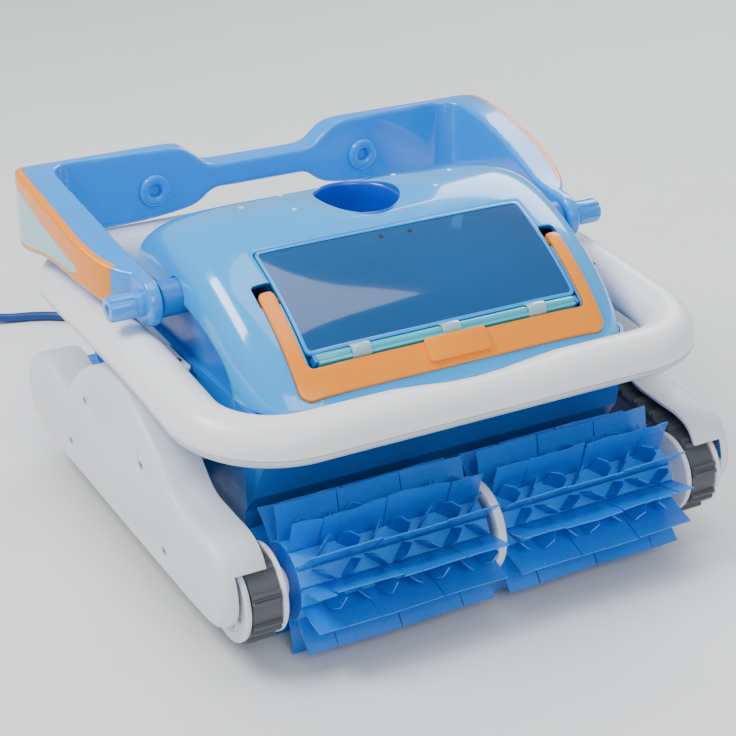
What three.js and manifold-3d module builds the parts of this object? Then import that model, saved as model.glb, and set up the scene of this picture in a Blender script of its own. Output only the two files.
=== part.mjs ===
// Robotic pool cleaner: a tracked, brush-driven floor robot with a filter cassette under a
// clear lid, a float bumper, a fold-back carrying handle and a floating cable.
//
// Millimetres. +Z is up, the front (the end with the cassette) faces -Y. The origin is on the
// ground, midway between the two axles.

import * as THREE from 'three';
import Module from 'manifold-3d';
import { mergeVertices } from 'three/addons/utils/BufferGeometryUtils.js';

const wasm = await Module();
wasm.setup();

// ---------------------------------------------------------------- driving dimensions

const GAP = 0.3;            // left between two pieces that touch
const RUN = 0.35;           // radial clearance of a turning fit
const WALL = 3;             // moulded wall

// running gear
const WHEELBASE = 340;
const FIN_COUNT = 12;
const FIN_TIP_R = 59;
const FIN_THICK = 2;
const BRUSH_CORE_R = 30;
const BRUSH_HALF_GAP = 6;   // from the middle plane to a brush's inner end
const BRUSH_END_X = 168;
const AXLE_R = 5;
const FLANGE_R = 34;
const FLANGE_THICK = 5;
const DRUM_R = 28.7;
const HUB_R = 12;
const BELT_THICK = 4;
const RIB_HEIGHT = 3.5;
const RIB_WIDTH = 6;
const RIB_PITCH = 21;
const WHEEL_INNER_X = 179;  // inner face of a wheel's inner flange
const BELT_WIDTH = 23;
const SPROCKET_R = 20.7;
const SPROCKET_Z = 82;
const SHAFT_R = 6;
const RING_R = 38;
const RING_THICK = 8;

// lower hull
const HULL_HALF_WIDTH = 168;
const HULL_FLOOR_Z = 26;
const HULL_CLEAR = 3;       // from a brush's fin tips to the hull's end wall
const SHELF_SHORT = 5.16;   // from the fin tips' upper corner on to the hull's shelf
const SHELF_OVER = 4.4;     // and up to it
const HULL_RIM_SHORT = 29;  // from an axle's plane back to the hull's rim
const HULL_CORNER_R = 30;
const RIM_THICK = 6;
const BASE_PLATE_Z = 21;
const SLOT_Y = 72;
const SLOT_HALF_X = 70;
const SLOT_HALF_Y = 11;

// top shell: a superellipse profile along Y, scaled down towards the two ends
const SHELL_BASE_Z = 172;
const SHELL_HEIGHT = 95;
const SHELL_HALF_WIDTH = 170;
const CREST_Y = 20;
const FRONT_SHORT = 2;      // the shell's front reach is this much under half the wheelbase
const REAR_SHORT = 42;
const SKIN = 3;

// side windows under the shell, and the handle's pivot
const ARCH_HALF_LENGTH = 112;
const ARCH_HEIGHT = 47;
const SIDE_WALL_X = 164;
const PIVOT_Y = 5;
const PIVOT_Z = 218;
const PIVOT_BOSS_R = 14;
const PIVOT_BOSS_X = 185;

// outlet and pump
const DUCT_Y = 24.7;
const DUCT_R = 35;
const DUCT_WALL = 3;
const DUCT_FOOT_Z = 176;
const MOTOR_R = 25;
const MOTOR_TOP_Z = 150;
const IMPELLER_R = 31;
const IMPELLER_Z = 196;

// filter cassette, laid out in the window's own tilted plane
const WINDOW_Y = -77;
const WINDOW_SINK = 3.85;   // from the shell's crest line down to the window's plane
const WINDOW_LEAN = 0.9206; // the window's slope over the shell's height by reach
const WINDOW_HALF_X = 121;
const WINDOW_TOP = 55;
const LID_CLEAR = 1.2;
const LID_THICK = 2.5;
const HINGE_S = -52;
const HINGE_N = -4.4;
const HINGE_R = 4;
const BASKET_HALF_X = 117;
const BASKET_TOP_S = 36;
const BASKET_BOTTOM_S = -57;
const BASKET_DEPTH = 48;
const BASKET_WALL = 2.5;
const BAIL_OUTER_X = 135;
const BAIL_INNER_X = 123;
const BAIL_END_S = 12;
const BAIL_TOP_S = -59;
const BAIL_BOTTOM_S = -79.5;
const BAIL_PROUD = 2.2;
const BAIL_SUNK = 1;
const BAIL_PIVOT_S = 8;
const BAIL_PIVOT_N = -6;
const TAB_HALF_X = 25;

// bumper
const BUMPER_HALF_X = 207;
const BUMPER_REAR_OVER = 33; // the bumper's rear run lies this far behind the rear axle
const BUMPER_CORNER_R = 62;
const BUMPER_HALF_WIDE = 21;
const BUMPER_UP = 24;
const BUMPER_DOWN = 11;
const BUMPER_SEAM_Z = 166;
const BUMPER_RISE = 9;
const BUMPER_WALL = 3;

// side covers
const COVER_FACE_X = 228;
const COVER_HOOD_X = 192;
const COVER_LIP_X = 217;
const COVER_WALL = 3;
const SCREW_R = 3.2;
const SCREW_HEAD_R = 4;

// handle
const HANDLE_SKIN = 6;
const HANDLE_OVER = 31;     // from the rear axle back to the grip's front face
const HANDLE_DEEP = 23.5;
const EYE_R = 19.5;
const EYE_INNER_X = 187;
const EYE_OUTER_X = 198;
const KNOB_R = 10.5;
const KNOB_END_X = 226;
const LOBE_BOSS_X = 103;
const LOBE_BOSS_Z = 229;

// cable
const CABLE_R = 4.5;
const GLAND_X = -60;
const GLAND_RISE = 17.75;   // from the fin tips up to the cable's exit
const RELIEF_LENGTH = 36;
const COIL_X = 60;
const COIL_Y = 345;
const COIL_MEAN_R = 81;
const COIL_LAYERS = 4;
const COIL_RINGS = 7;
const PLUG_R = 11;

// ---------------------------------------------------------------- derived dimensions

const FIN_STEP = 2 * Math.PI / FIN_COUNT;
// two fins share the load, so the axle stands at their common height
const AXLE_Z = FIN_TIP_R * Math.cos(FIN_STEP / 2) + FIN_THICK / 2 * Math.sin(FIN_STEP / 2);
const BODY_Z = FIN_TIP_R - 1.75; // the level that the hull and covers are drawn from, at the axles
const AXLE_Y = WHEELBASE / 2;
const FRONT_REACH = AXLE_Y - FRONT_SHORT;
const REAR_REACH = AXLE_Y - REAR_SHORT;
const BUMPER_FRONT_Y = AXLE_Y;
const BUMPER_REAR_Y = AXLE_Y + BUMPER_REAR_OVER;
const HANDLE_INNER_Y = AXLE_Y + HANDLE_OVER;
const HANDLE_OUTER_Y = HANDLE_INNER_Y + HANDLE_DEEP;
const HULL_RIM_Y = AXLE_Y - HULL_RIM_SHORT;
const GLAND_FACE_Y = HULL_RIM_Y + 1;
const RELIEF_END_Y = GLAND_FACE_Y + RELIEF_LENGTH;
const HULL_BASE_Y = AXLE_Y - FIN_TIP_R - HULL_CLEAR;
const HULL_KNEE_Z = BODY_Z + 26.75;
const HULL_SHELF_Y = AXLE_Y - 0.76 * FIN_TIP_R - SHELF_SHORT;
const HULL_SHELF_Z = BODY_Z + 0.65 * FIN_TIP_R + SHELF_OVER;
const GLAND_Z = BODY_Z + FIN_TIP_R + GLAND_RISE;
const BELT_INNER_X = WHEEL_INNER_X + FLANGE_THICK + 1;
const BELT_OUTER_X = BELT_INNER_X + BELT_WIDTH;
const WHEEL_OUTER_X = BELT_OUTER_X + 1 + FLANGE_THICK;
const HULL_TOP_Z = SHELL_BASE_Z - GAP;
const CREST_SHARE = 1 - ((CREST_Y - WINDOW_Y) / FRONT_REACH) ** 1.6;
const WINDOW_Z = SHELL_BASE_Z + SHELL_HEIGHT * CREST_SHARE ** (1 / 1.35) - WINDOW_SINK;
const WINDOW_TILT = Math.atan(WINDOW_LEAN * SHELL_HEIGHT / FRONT_REACH);
const LID_HALF_X = WINDOW_HALF_X - LID_CLEAR;

// ---------------------------------------------------------------- colours

const COLOURS = {
  shell: [0x54b9ee, 0.22, 0],
  hull: [0x1579c8, 0.4, 0],
  duct: [0x0f74d8, 0.35, 0],
  clear: [0x2f7fc4, 0.08, 0],
  teal: [0x49b4bb, 0.25, 0],
  orange: [0xff8a10, 0.4, 0],
  bumper: [0xf1f0ee, 0.38, 0],
  cover: [0xd3d5d6, 0.5, 0],
  belt: [0x4a4e50, 0.75, 0],
  wheel: [0xd9dde0, 0.45, 0],
  brush: [0x1673d0, 0.45, 0],
  handle: [0x3fa0e6, 0.35, 0],
  handle_window: [0x9ed3d6, 0.2, 0],
  motor: [0x2b2f33, 0.5, 0],
  steel: [0xb9bdc0, 0.3, 1],
  mesh: [0xdfe6ea, 0.8, 0],
  foam: [0xe6ecee, 0.9, 0],
  cable: [0x123f86, 0.5, 0],
};

// ---------------------------------------------------------------- geometry helpers

// A three.js geometry as closed, outward-facing triangles that share their vertices.
function closed(geometry) {
  let plain = geometry.clone();
  plain.deleteAttribute('normal');
  plain.deleteAttribute('uv');
  plain = mergeVertices(plain, 1e-4);
  const place = plain.attributes.position;
  const index = plain.index.array;
  const kept = [];
  let volume = 0;
  const a = new THREE.Vector3();
  const b = new THREE.Vector3();
  const c = new THREE.Vector3();
  for (let i = 0; i < index.length; i += 3) {
    const [p, q, r] = [index[i], index[i + 1], index[i + 2]];
    if (p === q || q === r || r === p) continue;
    kept.push(p, q, r);
    a.fromBufferAttribute(place, p);
    b.fromBufferAttribute(place, q);
    c.fromBufferAttribute(place, r);
    volume += a.dot(b.cross(c));
  }
  if (volume < 0) {
    for (let i = 0; i < kept.length; i += 3) {
      [kept[i + 1], kept[i + 2]] = [kept[i + 2], kept[i + 1]];
    }
  }
  plain.setIndex(kept);
  return plain;
}

function toSolid(geometry) {
  const plain = closed(geometry);
  return new wasm.Manifold(new wasm.Mesh({
    numProp: 3,
    vertProperties: new Float32Array(plain.attributes.position.array),
    triVerts: new Uint32Array(plain.index.array),
  }));
}

function toGeometry(solid) {
  const mesh = solid.getMesh();
  const geometry = new THREE.BufferGeometry();
  geometry.setAttribute('position', new THREE.BufferAttribute(mesh.vertProperties, 3));
  geometry.setIndex(new THREE.BufferAttribute(mesh.triVerts, 1));
  return geometry;
}

function join(first, ...rest) {
  return toGeometry(rest.reduce((sum, g) => sum.add(toSolid(g)), toSolid(first)));
}

function cut(first, ...rest) {
  return toGeometry(rest.reduce((left, g) => left.subtract(toSolid(g)), toSolid(first)));
}

function common(first, ...rest) {
  return toGeometry(rest.reduce((left, g) => left.intersect(toSolid(g)), toSolid(first)));
}

function mirrored(geometry) {
  return closed(geometry.clone().scale(-1, 1, 1));
}

function block(x0, x1, y0, y1, z0, z1) {
  const box = new THREE.BoxGeometry(x1 - x0, y1 - y0, z1 - z0);
  return box.translate((x0 + x1) / 2, (y0 + y1) / 2, (z0 + z1) / 2);
}

function outline(points) {
  return new THREE.Shape(points.map(([u, v]) => new THREE.Vector2(u, v)));
}

function extrudeWith(points, from, to, basis) {
  const body = new THREE.ExtrudeGeometry(outline(points), { depth: to - from, bevelEnabled: false });
  return body.translate(0, 0, from).applyMatrix4(basis);
}

const ALONG_X = new THREE.Matrix4().makeBasis(
  new THREE.Vector3(0, 1, 0), new THREE.Vector3(0, 0, 1), new THREE.Vector3(1, 0, 0));
const ALONG_Y = new THREE.Matrix4().makeBasis(
  new THREE.Vector3(-1, 0, 0), new THREE.Vector3(0, 0, 1), new THREE.Vector3(0, 1, 0));
const ALONG_Z = new THREE.Matrix4();

// outlines: (y, z) along X, (x, z) along Y, (x, y) along Z
const extrudeX = (points, from, to) => extrudeWith(points, from, to, ALONG_X);
const extrudeY = (points, from, to) => extrudeWith(points.map(([x, z]) => [-x, z]), from, to, ALONG_Y);
const extrudeZ = (points, from, to) => extrudeWith(points, from, to, ALONG_Z);

function lathe(profile, segments) {
  return new THREE.LatheGeometry(profile.map(([r, h]) => new THREE.Vector2(r, h)), segments);
}

// profiles are (radius, distance along the axis)
const latheX = (profile, segments, y, z) => lathe(profile, segments).rotateZ(-Math.PI / 2).translate(0, y, z);
const latheY = (profile, segments, x, z) => lathe(profile, segments).translate(x, 0, z);
const latheZ = (profile, segments, x, y) => lathe(profile, segments).rotateX(Math.PI / 2).translate(x, y, 0);

const rodProfile = (r, from, to) => [[0, from], [r, from], [r, to], [0, to]];
const rodX = (r, from, to, y, z, segments = 16) => latheX(rodProfile(r, from, to), segments, y, z);
const rodY = (r, from, to, x, z, segments = 16) => latheY(rodProfile(r, from, to), segments, x, z);
const rodZ = (r, from, to, x, y, segments = 16) => latheZ(rodProfile(r, from, to), segments, x, y);

function arcPoints(cx, cy, r, from, to, steps) {
  const points = [];
  for (let i = 0; i <= steps; i++) {
    const angle = THREE.MathUtils.degToRad(from + (to - from) * i / steps);
    points.push([cx + r * Math.cos(angle), cy + r * Math.sin(angle)]);
  }
  return points;
}

function roundedRectangle(halfX, y0, y1, r, steps = 4) {
  return [
    ...arcPoints(halfX - r, y0 + r, r, -90, 0, steps),
    ...arcPoints(halfX - r, y1 - r, r, 0, 90, steps),
    ...arcPoints(-halfX + r, y1 - r, r, 90, 180, steps),
    ...arcPoints(-halfX + r, y0 + r, r, 180, 270, steps),
  ];
}

// A closed smooth curve through the points, sampled evenly.
function smoothLoop(points, samples) {
  const curve = new THREE.CatmullRomCurve3(
    points.map(([u, v]) => new THREE.Vector3(u, v, 0)), true, 'catmullrom', 0.5);
  return curve.getPoints(samples).slice(0, samples).map((p) => [p.x, p.y]);
}

// The same loop moved inwards by a distance; the loop runs counter-clockwise.
function insetLoop(points, distance) {
  const count = points.length;
  return points.map(([u, v], i) => {
    const [pu, pv] = points[(i + count - 1) % count];
    const [nu, nv] = points[(i + 1) % count];
    const length = Math.hypot(nu - pu, nv - pv);
    return [u - distance * (nv - pv) / length, v + distance * (nu - pu) / length];
  });
}

// The outer hull of circles [[centre u, centre v, radius], ...], as a belt lies on its wheels.
function beltLoop(circles, offset, steps) {
  const points = circles.flatMap(([u, v, r]) => arcPoints(u, v, r + offset, 0, 360 - 360 / steps, steps - 1));
  points.sort((a, b) => a[0] - b[0] || a[1] - b[1]);
  const turn = (o, a, b) => (a[0] - o[0]) * (b[1] - o[1]) - (a[1] - o[1]) * (b[0] - o[0]);
  const half = (list) => {
    const chain = [];
    for (const p of list) {
      while (chain.length > 1 && turn(chain.at(-2), chain.at(-1), p) <= 1e-6) chain.pop();
      chain.push(p);
    }
    return chain.slice(0, -1);
  };
  return [...half(points), ...half([...points].reverse())];
}

// Walks a loop and raises a rib of the given width and height at every pitch.
function ribbedLoop(loop, pitch, width, height) {
  const legs = loop.map((p, i) => {
    const q = loop[(i + 1) % loop.length];
    return { p, q, length: Math.hypot(q[0] - p[0], q[1] - p[1]) };
  });
  const total = legs.reduce((sum, leg) => sum + leg.length, 0);
  const ribs = Math.round(total / pitch);
  const at = (distance, lift) => {
    let left = (distance + total) % total;
    const leg = legs.find((one) => {
      if (left <= one.length) return true;
      left -= one.length;
      return false;
    }) ?? legs.at(-1);
    const du = (leg.q[0] - leg.p[0]) / leg.length;
    const dv = (leg.q[1] - leg.p[1]) / leg.length;
    return [leg.p[0] + du * left + dv * lift, leg.p[1] + dv * left - du * lift];
  };
  const points = [];
  const stops = [];
  for (let i = 0; i < ribs; i++) {
    const middle = (i + 0.5) * total / ribs;
    stops.push([middle - width / 2, 0], [middle - width / 2 + 1, height]);
    stops.push([middle + width / 2 - 1, height], [middle + width / 2, 0]);
  }
  let walked = 0;
  for (const leg of legs) {
    const inRib = stops.some(([s], i) => i % 4 === 0 && walked > s - 1.5 && walked < s + width + 1.5);
    if (!inRib) stops.push([walked, 0]);
    walked += leg.length;
  }
  stops.sort((a, b) => a[0] - b[0]);
  for (const [distance, lift] of stops) points.push(at(distance, lift));
  return points;
}

// A closed tube of any section round a closed path; section(i) gives (outwards, up) points.
function loopSweep(path, section) {
  const count = path.length;
  const size = section.length;
  const vertices = [];
  const index = [];
  path.forEach(([x, y, z], i) => {
    const before = path[(i + count - 1) % count];
    const after = path[(i + 1) % count];
    const length = Math.hypot(after[0] - before[0], after[1] - before[1]);
    const outX = (after[1] - before[1]) / length;
    const outY = -(after[0] - before[0]) / length;
    for (const [out, up] of section) vertices.push(x + outX * out, y + outY * out, z + up);
    for (let j = 0; j < size; j++) {
      const a = i * size + j;
      const b = i * size + (j + 1) % size;
      const c = ((i + 1) % count) * size + j;
      const d = ((i + 1) % count) * size + (j + 1) % size;
      index.push(a, b, d, a, d, c);
    }
  });
  const geometry = new THREE.BufferGeometry();
  geometry.setAttribute('position', new THREE.Float32BufferAttribute(vertices, 3));
  geometry.setIndex(index);
  return geometry;
}

const group = new THREE.Group();

function add(name, geometry, colour) {
  const [hex, roughness, metalness] = COLOURS[colour];
  const material = new THREE.MeshStandardMaterial({ color: hex, roughness, metalness });
  const mesh = new THREE.Mesh(closed(geometry), material);
  mesh.name = name;
  group.add(mesh);
}

// One piece on each side: the builder makes the +X one.
function addPair(name, colour, geometry) {
  add(`${name}_right`, geometry, colour);
  add(`${name}_left`, mirrored(geometry), colour);
}

// ---------------------------------------------------------------- top shell

// The crowned solid under the shell's outer surface, moved outwards by an offset.
function dome(offset) {
  const halfWidth = SHELL_HALF_WIDTH + offset;
  const height = SHELL_HEIGHT + offset;
  const profile = [];
  const front = 9;
  const rear = 7;
  for (let i = 0; i <= front; i++) {
    const t = Math.PI / 2 * i / front;
    const reach = (FRONT_REACH + offset) * Math.cos(t) ** (2 / 1.6);
    profile.push([CREST_Y - reach, height * Math.sin(t) ** (2 / 1.35)]);
  }
  for (let i = rear - 1; i >= 0; i--) {
    const t = Math.PI / 2 * i / rear;
    const reach = (REAR_REACH + offset) * Math.cos(t) ** (2 / 2);
    profile.push([CREST_Y + reach, height * Math.sin(t) ** (2 / 1.6)]);
  }
  const stations = 12;
  const vertices = [];
  const index = [];
  const size = profile.length;
  for (let j = 0; j <= stations; j++) {
    const theta = Math.PI * (j / stations - 0.5);
    const scale = Math.abs(Math.cos(theta)) ** (2 / 7);
    const x = halfWidth * Math.sign(Math.sin(theta)) * Math.abs(Math.sin(theta)) ** (2 / 7);
    const end = j === 0 || j === stations;
    for (const [y, z] of profile) {
      vertices.push(x, end ? CREST_Y : CREST_Y + (y - CREST_Y) * scale, SHELL_BASE_Z + (end ? 0 : z * scale));
    }
  }
  for (let j = 0; j < stations; j++) {
    for (let i = 0; i < size - 1; i++) {
      const a = j * size + i;
      index.push(a, a + 1, a + size + 1, a, a + size + 1, a + size);
    }
    const first = j * size;
    const last = first + size - 1;
    index.push(first, last + size, last, first, first + size, last + size);
  }
  const geometry = new THREE.BufferGeometry();
  geometry.setAttribute('position', new THREE.Float32BufferAttribute(vertices, 3));
  geometry.setIndex(index);
  return closed(geometry);
}

// Puts a piece drawn in the window's plane (x, up the slope, outwards) into the robot's frame.
function inWindow(geometry) {
  return geometry.rotateX(WINDOW_TILT).translate(0, WINDOW_Y, WINDOW_Z);
}

const windowBlock = (x0, x1, s0, s1, n0, n1) => inWindow(block(x0, x1, s0, s1, n0, n1));

function bailPrism(clear) {
  const low = -40;
  const high = 40;
  const whole = windowBlock(-BAIL_OUTER_X - clear, BAIL_OUTER_X + clear,
    BAIL_BOTTOM_S - clear, BAIL_END_S + clear, low, high);
  const inside = windowBlock(-BAIL_INNER_X + clear, BAIL_INNER_X - clear,
    BAIL_TOP_S + clear, BAIL_END_S + clear + 1, low - 1, high + 1);
  return cut(whole, inside);
}

function archShape(grow) {
  const points = [];
  const steps = 20;
  for (let i = 0; i <= steps; i++) {
    const angle = Math.PI * i / steps;
    points.push([CREST_Y + (ARCH_HALF_LENGTH + grow) * Math.cos(angle),
      SHELL_BASE_Z - 1 + (ARCH_HEIGHT + grow) * Math.sin(angle)]);
  }
  return points;
}

function topShell() {
  const skin = cut(dome(0), dome(-SKIN).translate(0, 0, -0.01),
    block(-160, 160, -140, 140, SHELL_BASE_Z - 5, SHELL_BASE_Z + 5));
  const bailRecess = common(cut(dome(8), dome(-BAIL_SUNK - GAP)), bailPrism(GAP));
  const sideCuts = [1, -1].map((side) => {
    const arch = extrudeX(archShape(0), 140, SHELL_HALF_WIDTH + 5);
    const boss = rodX(PIVOT_BOSS_R + 1, 150, SHELL_HALF_WIDTH + 5, PIVOT_Y, PIVOT_Z);
    const both = join(arch, boss);
    return side > 0 ? both : mirrored(both);
  });
  const pockets = [1, -1].map((side) => {
    const pocket = windowBlock(WINDOW_HALF_X - 1, BAIL_OUTER_X + 1.5, -1, BAIL_END_S + 10, -14, 30);
    return side > 0 ? pocket : mirrored(pocket);
  });
  const opening = windowBlock(-WINDOW_HALF_X, WINDOW_HALF_X, BAIL_TOP_S - GAP, WINDOW_TOP, -25, 30);
  const outlet = rodZ(DUCT_R + 0.2, SHELL_BASE_Z + 40, SHELL_BASE_Z + SHELL_HEIGHT + 10, 0, DUCT_Y, 32);
  return cut(skin, bailRecess, ...sideCuts, ...pockets, opening, outlet);
}

add('top_shell', topShell(), 'shell');

// ---------------------------------------------------------------- lower hull

// The hull's side view, moved inwards by an inset.
function hullProfile(inset, top) {
  const half = [
    [HULL_BASE_Y - inset, HULL_FLOOR_Z + inset],
    [HULL_BASE_Y - inset, HULL_KNEE_Z],
    [HULL_SHELF_Y - inset, HULL_SHELF_Z],
    [HULL_RIM_Y - inset, top],
  ];
  return [...half, ...[...half].reverse().map(([y, z]) => [-y, z])];
}

function lowerHull() {
  const planOuter = roundedRectangle(HULL_HALF_WIDTH, -HULL_RIM_Y, HULL_RIM_Y, HULL_CORNER_R);
  const planInner = roundedRectangle(HULL_HALF_WIDTH - WALL, WALL - HULL_RIM_Y, HULL_RIM_Y - WALL,
    HULL_CORNER_R - WALL);
  const body = common(extrudeX(hullProfile(0, HULL_TOP_Z), -HULL_HALF_WIDTH, HULL_HALF_WIDTH),
    extrudeZ(planOuter, HULL_FLOOR_Z - 1, HULL_TOP_Z));
  const inside = common(extrudeX(hullProfile(WALL, HULL_TOP_Z + 1), -HULL_HALF_WIDTH, HULL_HALF_WIDTH),
    extrudeZ(planInner, HULL_FLOOR_Z, HULL_TOP_Z + 1));
  // the flange that the shell stands on has the shell's own outline
  const footprint = dome(0).translate(0, 0, HULL_TOP_Z - RIM_THICK - SHELL_BASE_Z);
  const rim = common(footprint, block(-300, 300, -300, 300, HULL_TOP_Z - RIM_THICK, HULL_TOP_Z));
  const mouth = extrudeZ(roundedRectangle(SIDE_WALL_X - WALL, -HULL_RIM_Y + 8, HULL_RIM_Y - 8, HULL_CORNER_R),
    HULL_TOP_Z - RIM_THICK - 1, HULL_TOP_Z + 1);
  // each side rises inside the shell's arch and carries the handle's pivot boss
  const cheek = join(
    common(extrudeX(archShape(6), SIDE_WALL_X - WALL, SIDE_WALL_X), dome(-SKIN - GAP),
      block(0, 300, -300, 300, SHELL_BASE_Z - 1, 400)),
    block(SIDE_WALL_X - WALL, SIDE_WALL_X, -60, 60, HULL_TOP_Z - 3, HULL_TOP_Z + 8),
    rodX(PIVOT_BOSS_R, SIDE_WALL_X - WALL, PIVOT_BOSS_X, PIVOT_Y, PIVOT_Z));
  const shaftHole = rodX(SHAFT_R + RUN, HULL_HALF_WIDTH - 20, HULL_HALF_WIDTH + 1, 0, SPROCKET_Z);
  const knobHole = rodX(SHAFT_R + RUN, SIDE_WALL_X + 2, PIVOT_BOSS_X + 1, PIVOT_Y, PIVOT_Z);
  const slots = [-SLOT_Y, SLOT_Y].map((y) =>
    block(-SLOT_HALF_X, SLOT_HALF_X, y - SLOT_HALF_Y, y + SLOT_HALF_Y, HULL_FLOOR_Z - 1,
      HULL_FLOOR_Z + WALL + 1));
  const glandPad = block(GLAND_X - 13, GLAND_X + 13, HULL_SHELF_Y, GLAND_FACE_Y, GLAND_Z - 13, GLAND_Z + 13);
  const glandHole = rodY(8 + GAP, HULL_SHELF_Y - 10, GLAND_FACE_Y + 1, GLAND_X, GLAND_Z);
  const walls = join(cut(body, inside), cut(rim, mouth), cheek, mirrored(cheek), cut(glandPad, inside));
  return cut(walls, shaftHole, mirrored(shaftHole), knobHole, mirrored(knobHole), ...slots, glandHole);
}

add('lower_hull', lowerHull(), 'hull');

function basePlate() {
  const top = HULL_FLOOR_Z - GAP;
  const plate = extrudeZ(roundedRectangle(HULL_HALF_WIDTH - 16, -HULL_BASE_Y + 6, HULL_BASE_Y - 6, 14, 4),
    BASE_PLATE_Z, top);
  const slots = [-SLOT_Y, SLOT_Y].map((y) =>
    block(-SLOT_HALF_X - 2, SLOT_HALF_X + 2, y - SLOT_HALF_Y - 2, y + SLOT_HALF_Y + 2, BASE_PLATE_Z - 1,
      top + 1));
  return cut(plate, ...slots);
}

add('base_plate', basePlate(), 'hull');

// ---------------------------------------------------------------- inlet flaps

const FLAP_THICK = 2;
const FLAP_Z = HULL_FLOOR_Z + WALL + GAP;
const FLAP_HINGE_Y = SLOT_Y - SLOT_HALF_Y - 6;

function inletFlap(side) {
  const hinge = side * FLAP_HINGE_Y;
  const far = side * (SLOT_Y + SLOT_HALF_Y + 4);
  const plate = block(-SLOT_HALF_X - 4, SLOT_HALF_X + 4, Math.min(hinge, far), Math.max(hinge, far),
    FLAP_Z, FLAP_Z + FLAP_THICK);
  return join(plate, rodX(FLAP_THICK, -SLOT_HALF_X - 8, SLOT_HALF_X + 8, hinge, FLAP_Z + FLAP_THICK, 12));
}

add('inlet_flap_front', inletFlap(-1), 'belt');
add('inlet_flap_rear', inletFlap(1), 'belt');

// ---------------------------------------------------------------- outlet, pump and motors

function outletDuct() {
  const top = SHELL_BASE_Z + SHELL_HEIGHT;
  const outerR = DUCT_R + DUCT_WALL;
  const tube = common(latheZ([[DUCT_R, DUCT_FOOT_Z], [outerR, DUCT_FOOT_Z], [outerR, top], [DUCT_R, top],
    [DUCT_R, DUCT_FOOT_Z]], 32, 0, DUCT_Y), dome(-SKIN - GAP));
  const spokes = [0, 1, 2].map((i) => {
    const arm = block(6, DUCT_R + 1, -2, 2, DUCT_FOOT_Z, DUCT_FOOT_Z + 6);
    return arm.rotateZ(i * 2 * Math.PI / 3).translate(0, DUCT_Y, 0);
  });
  const hub = rodZ(9, DUCT_FOOT_Z, DUCT_FOOT_Z + 6, 0, DUCT_Y);
  return cut(join(tube, ...spokes, hub), rodZ(4 + RUN, DUCT_FOOT_Z - 1, DUCT_FOOT_Z + 7, 0, DUCT_Y));
}

add('outlet_duct', outletDuct(), 'duct');

function pumpMotor() {
  const foot = HULL_FLOOR_Z + WALL + GAP;
  return latheZ([[0, foot], [MOTOR_R + 2.5, foot], [MOTOR_R + 2.5, foot + 5], [MOTOR_R, foot + 5],
    [MOTOR_R, MOTOR_TOP_Z - 8], [MOTOR_R - 8, MOTOR_TOP_Z], [0, MOTOR_TOP_Z]], 20, 0, DUCT_Y);
}

add('pump_motor', pumpMotor(), 'motor');

function impeller() {
  const shaft = latheZ([[0, MOTOR_TOP_Z + GAP], [4, MOTOR_TOP_Z + GAP], [4, IMPELLER_Z - 8],
    [9, IMPELLER_Z - 8],
    [9, IMPELLER_Z + 8], [4, IMPELLER_Z + 16], [0, IMPELLER_Z + 18]], 20, 0, DUCT_Y);
  const blades = [0, 1, 2, 3].map((i) => {
    const blade = block(6, IMPELLER_R, -1.2, 1.2, -9, 9).rotateX(Math.PI / 3);
    return blade.rotateZ(i * Math.PI / 2).translate(0, DUCT_Y, IMPELLER_Z);
  });
  return join(shaft, ...blades);
}

add('impeller', impeller(), 'wheel');

const MOTOR_WALL_X = HULL_HALF_WIDTH - WALL - GAP;
addPair('drive_motor', 'motor', cut(
  latheX([[0, 70], [22, 70], [22, MOTOR_WALL_X - 5], [28, MOTOR_WALL_X - 5], [28, MOTOR_WALL_X],
    [0, MOTOR_WALL_X]],
    18, 0, SPROCKET_Z),
  rodX(SHAFT_R + RUN, MOTOR_WALL_X - 14, MOTOR_WALL_X + 1, 0, SPROCKET_Z)));

add('control_box', block(88, 152, 46, HULL_BASE_Y - WALL - 4, HULL_FLOOR_Z + WALL + GAP, 86), 'motor');

// ---------------------------------------------------------------- filter cassette

const HINGE_SPANS = [-78, 0, 78];
const KNUCKLE_HALF = 8;

function basket() {
  const outer = windowBlock(-BASKET_HALF_X, BASKET_HALF_X, BASKET_BOTTOM_S, BASKET_TOP_S, -BASKET_DEPTH, -12);
  const inner = windowBlock(BASKET_WALL - BASKET_HALF_X, BASKET_HALF_X - BASKET_WALL,
    BASKET_BOTTOM_S + BASKET_WALL, BASKET_TOP_S - BASKET_WALL, BASKET_WALL - BASKET_DEPTH, 0);
  const screen = windowBlock(-BASKET_HALF_X + 9, BASKET_HALF_X - 9,
    BASKET_BOTTOM_S + 9, BASKET_TOP_S - 9, -BASKET_DEPTH - 1, 0);
  const cheeks = [1, -1].map((side) => {
    const cheek = join(
      windowBlock(BASKET_HALF_X - BASKET_WALL, BASKET_HALF_X, HINGE_S - HINGE_R, HINGE_S + 2.5, -13, -1.5),
      windowBlock(BASKET_HALF_X - BASKET_WALL, BASKET_HALF_X, BAIL_PIVOT_S - 7, BAIL_PIVOT_S + 7, -13,
        BAIL_PIVOT_N + 4.5));
    return side > 0 ? cheek : mirrored(cheek);
  });
  const pinHoles = inWindow(rodX(2.5 + RUN, -BASKET_HALF_X - 1, BASKET_HALF_X + 1, BAIL_PIVOT_S,
    BAIL_PIVOT_N, 16));
  return cut(join(cut(outer, inner, screen), ...cheeks), pinHoles);
}

add('filter_basket', basket(), 'bumper');

add('filter_mesh', windowBlock(-BASKET_HALF_X + 9 + GAP, BASKET_HALF_X - 9 - GAP,
  BASKET_BOTTOM_S + 9 + GAP, BASKET_TOP_S - 9 - GAP, 0.5 - BASKET_DEPTH, 2 - BASKET_DEPTH), 'mesh');

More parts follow.
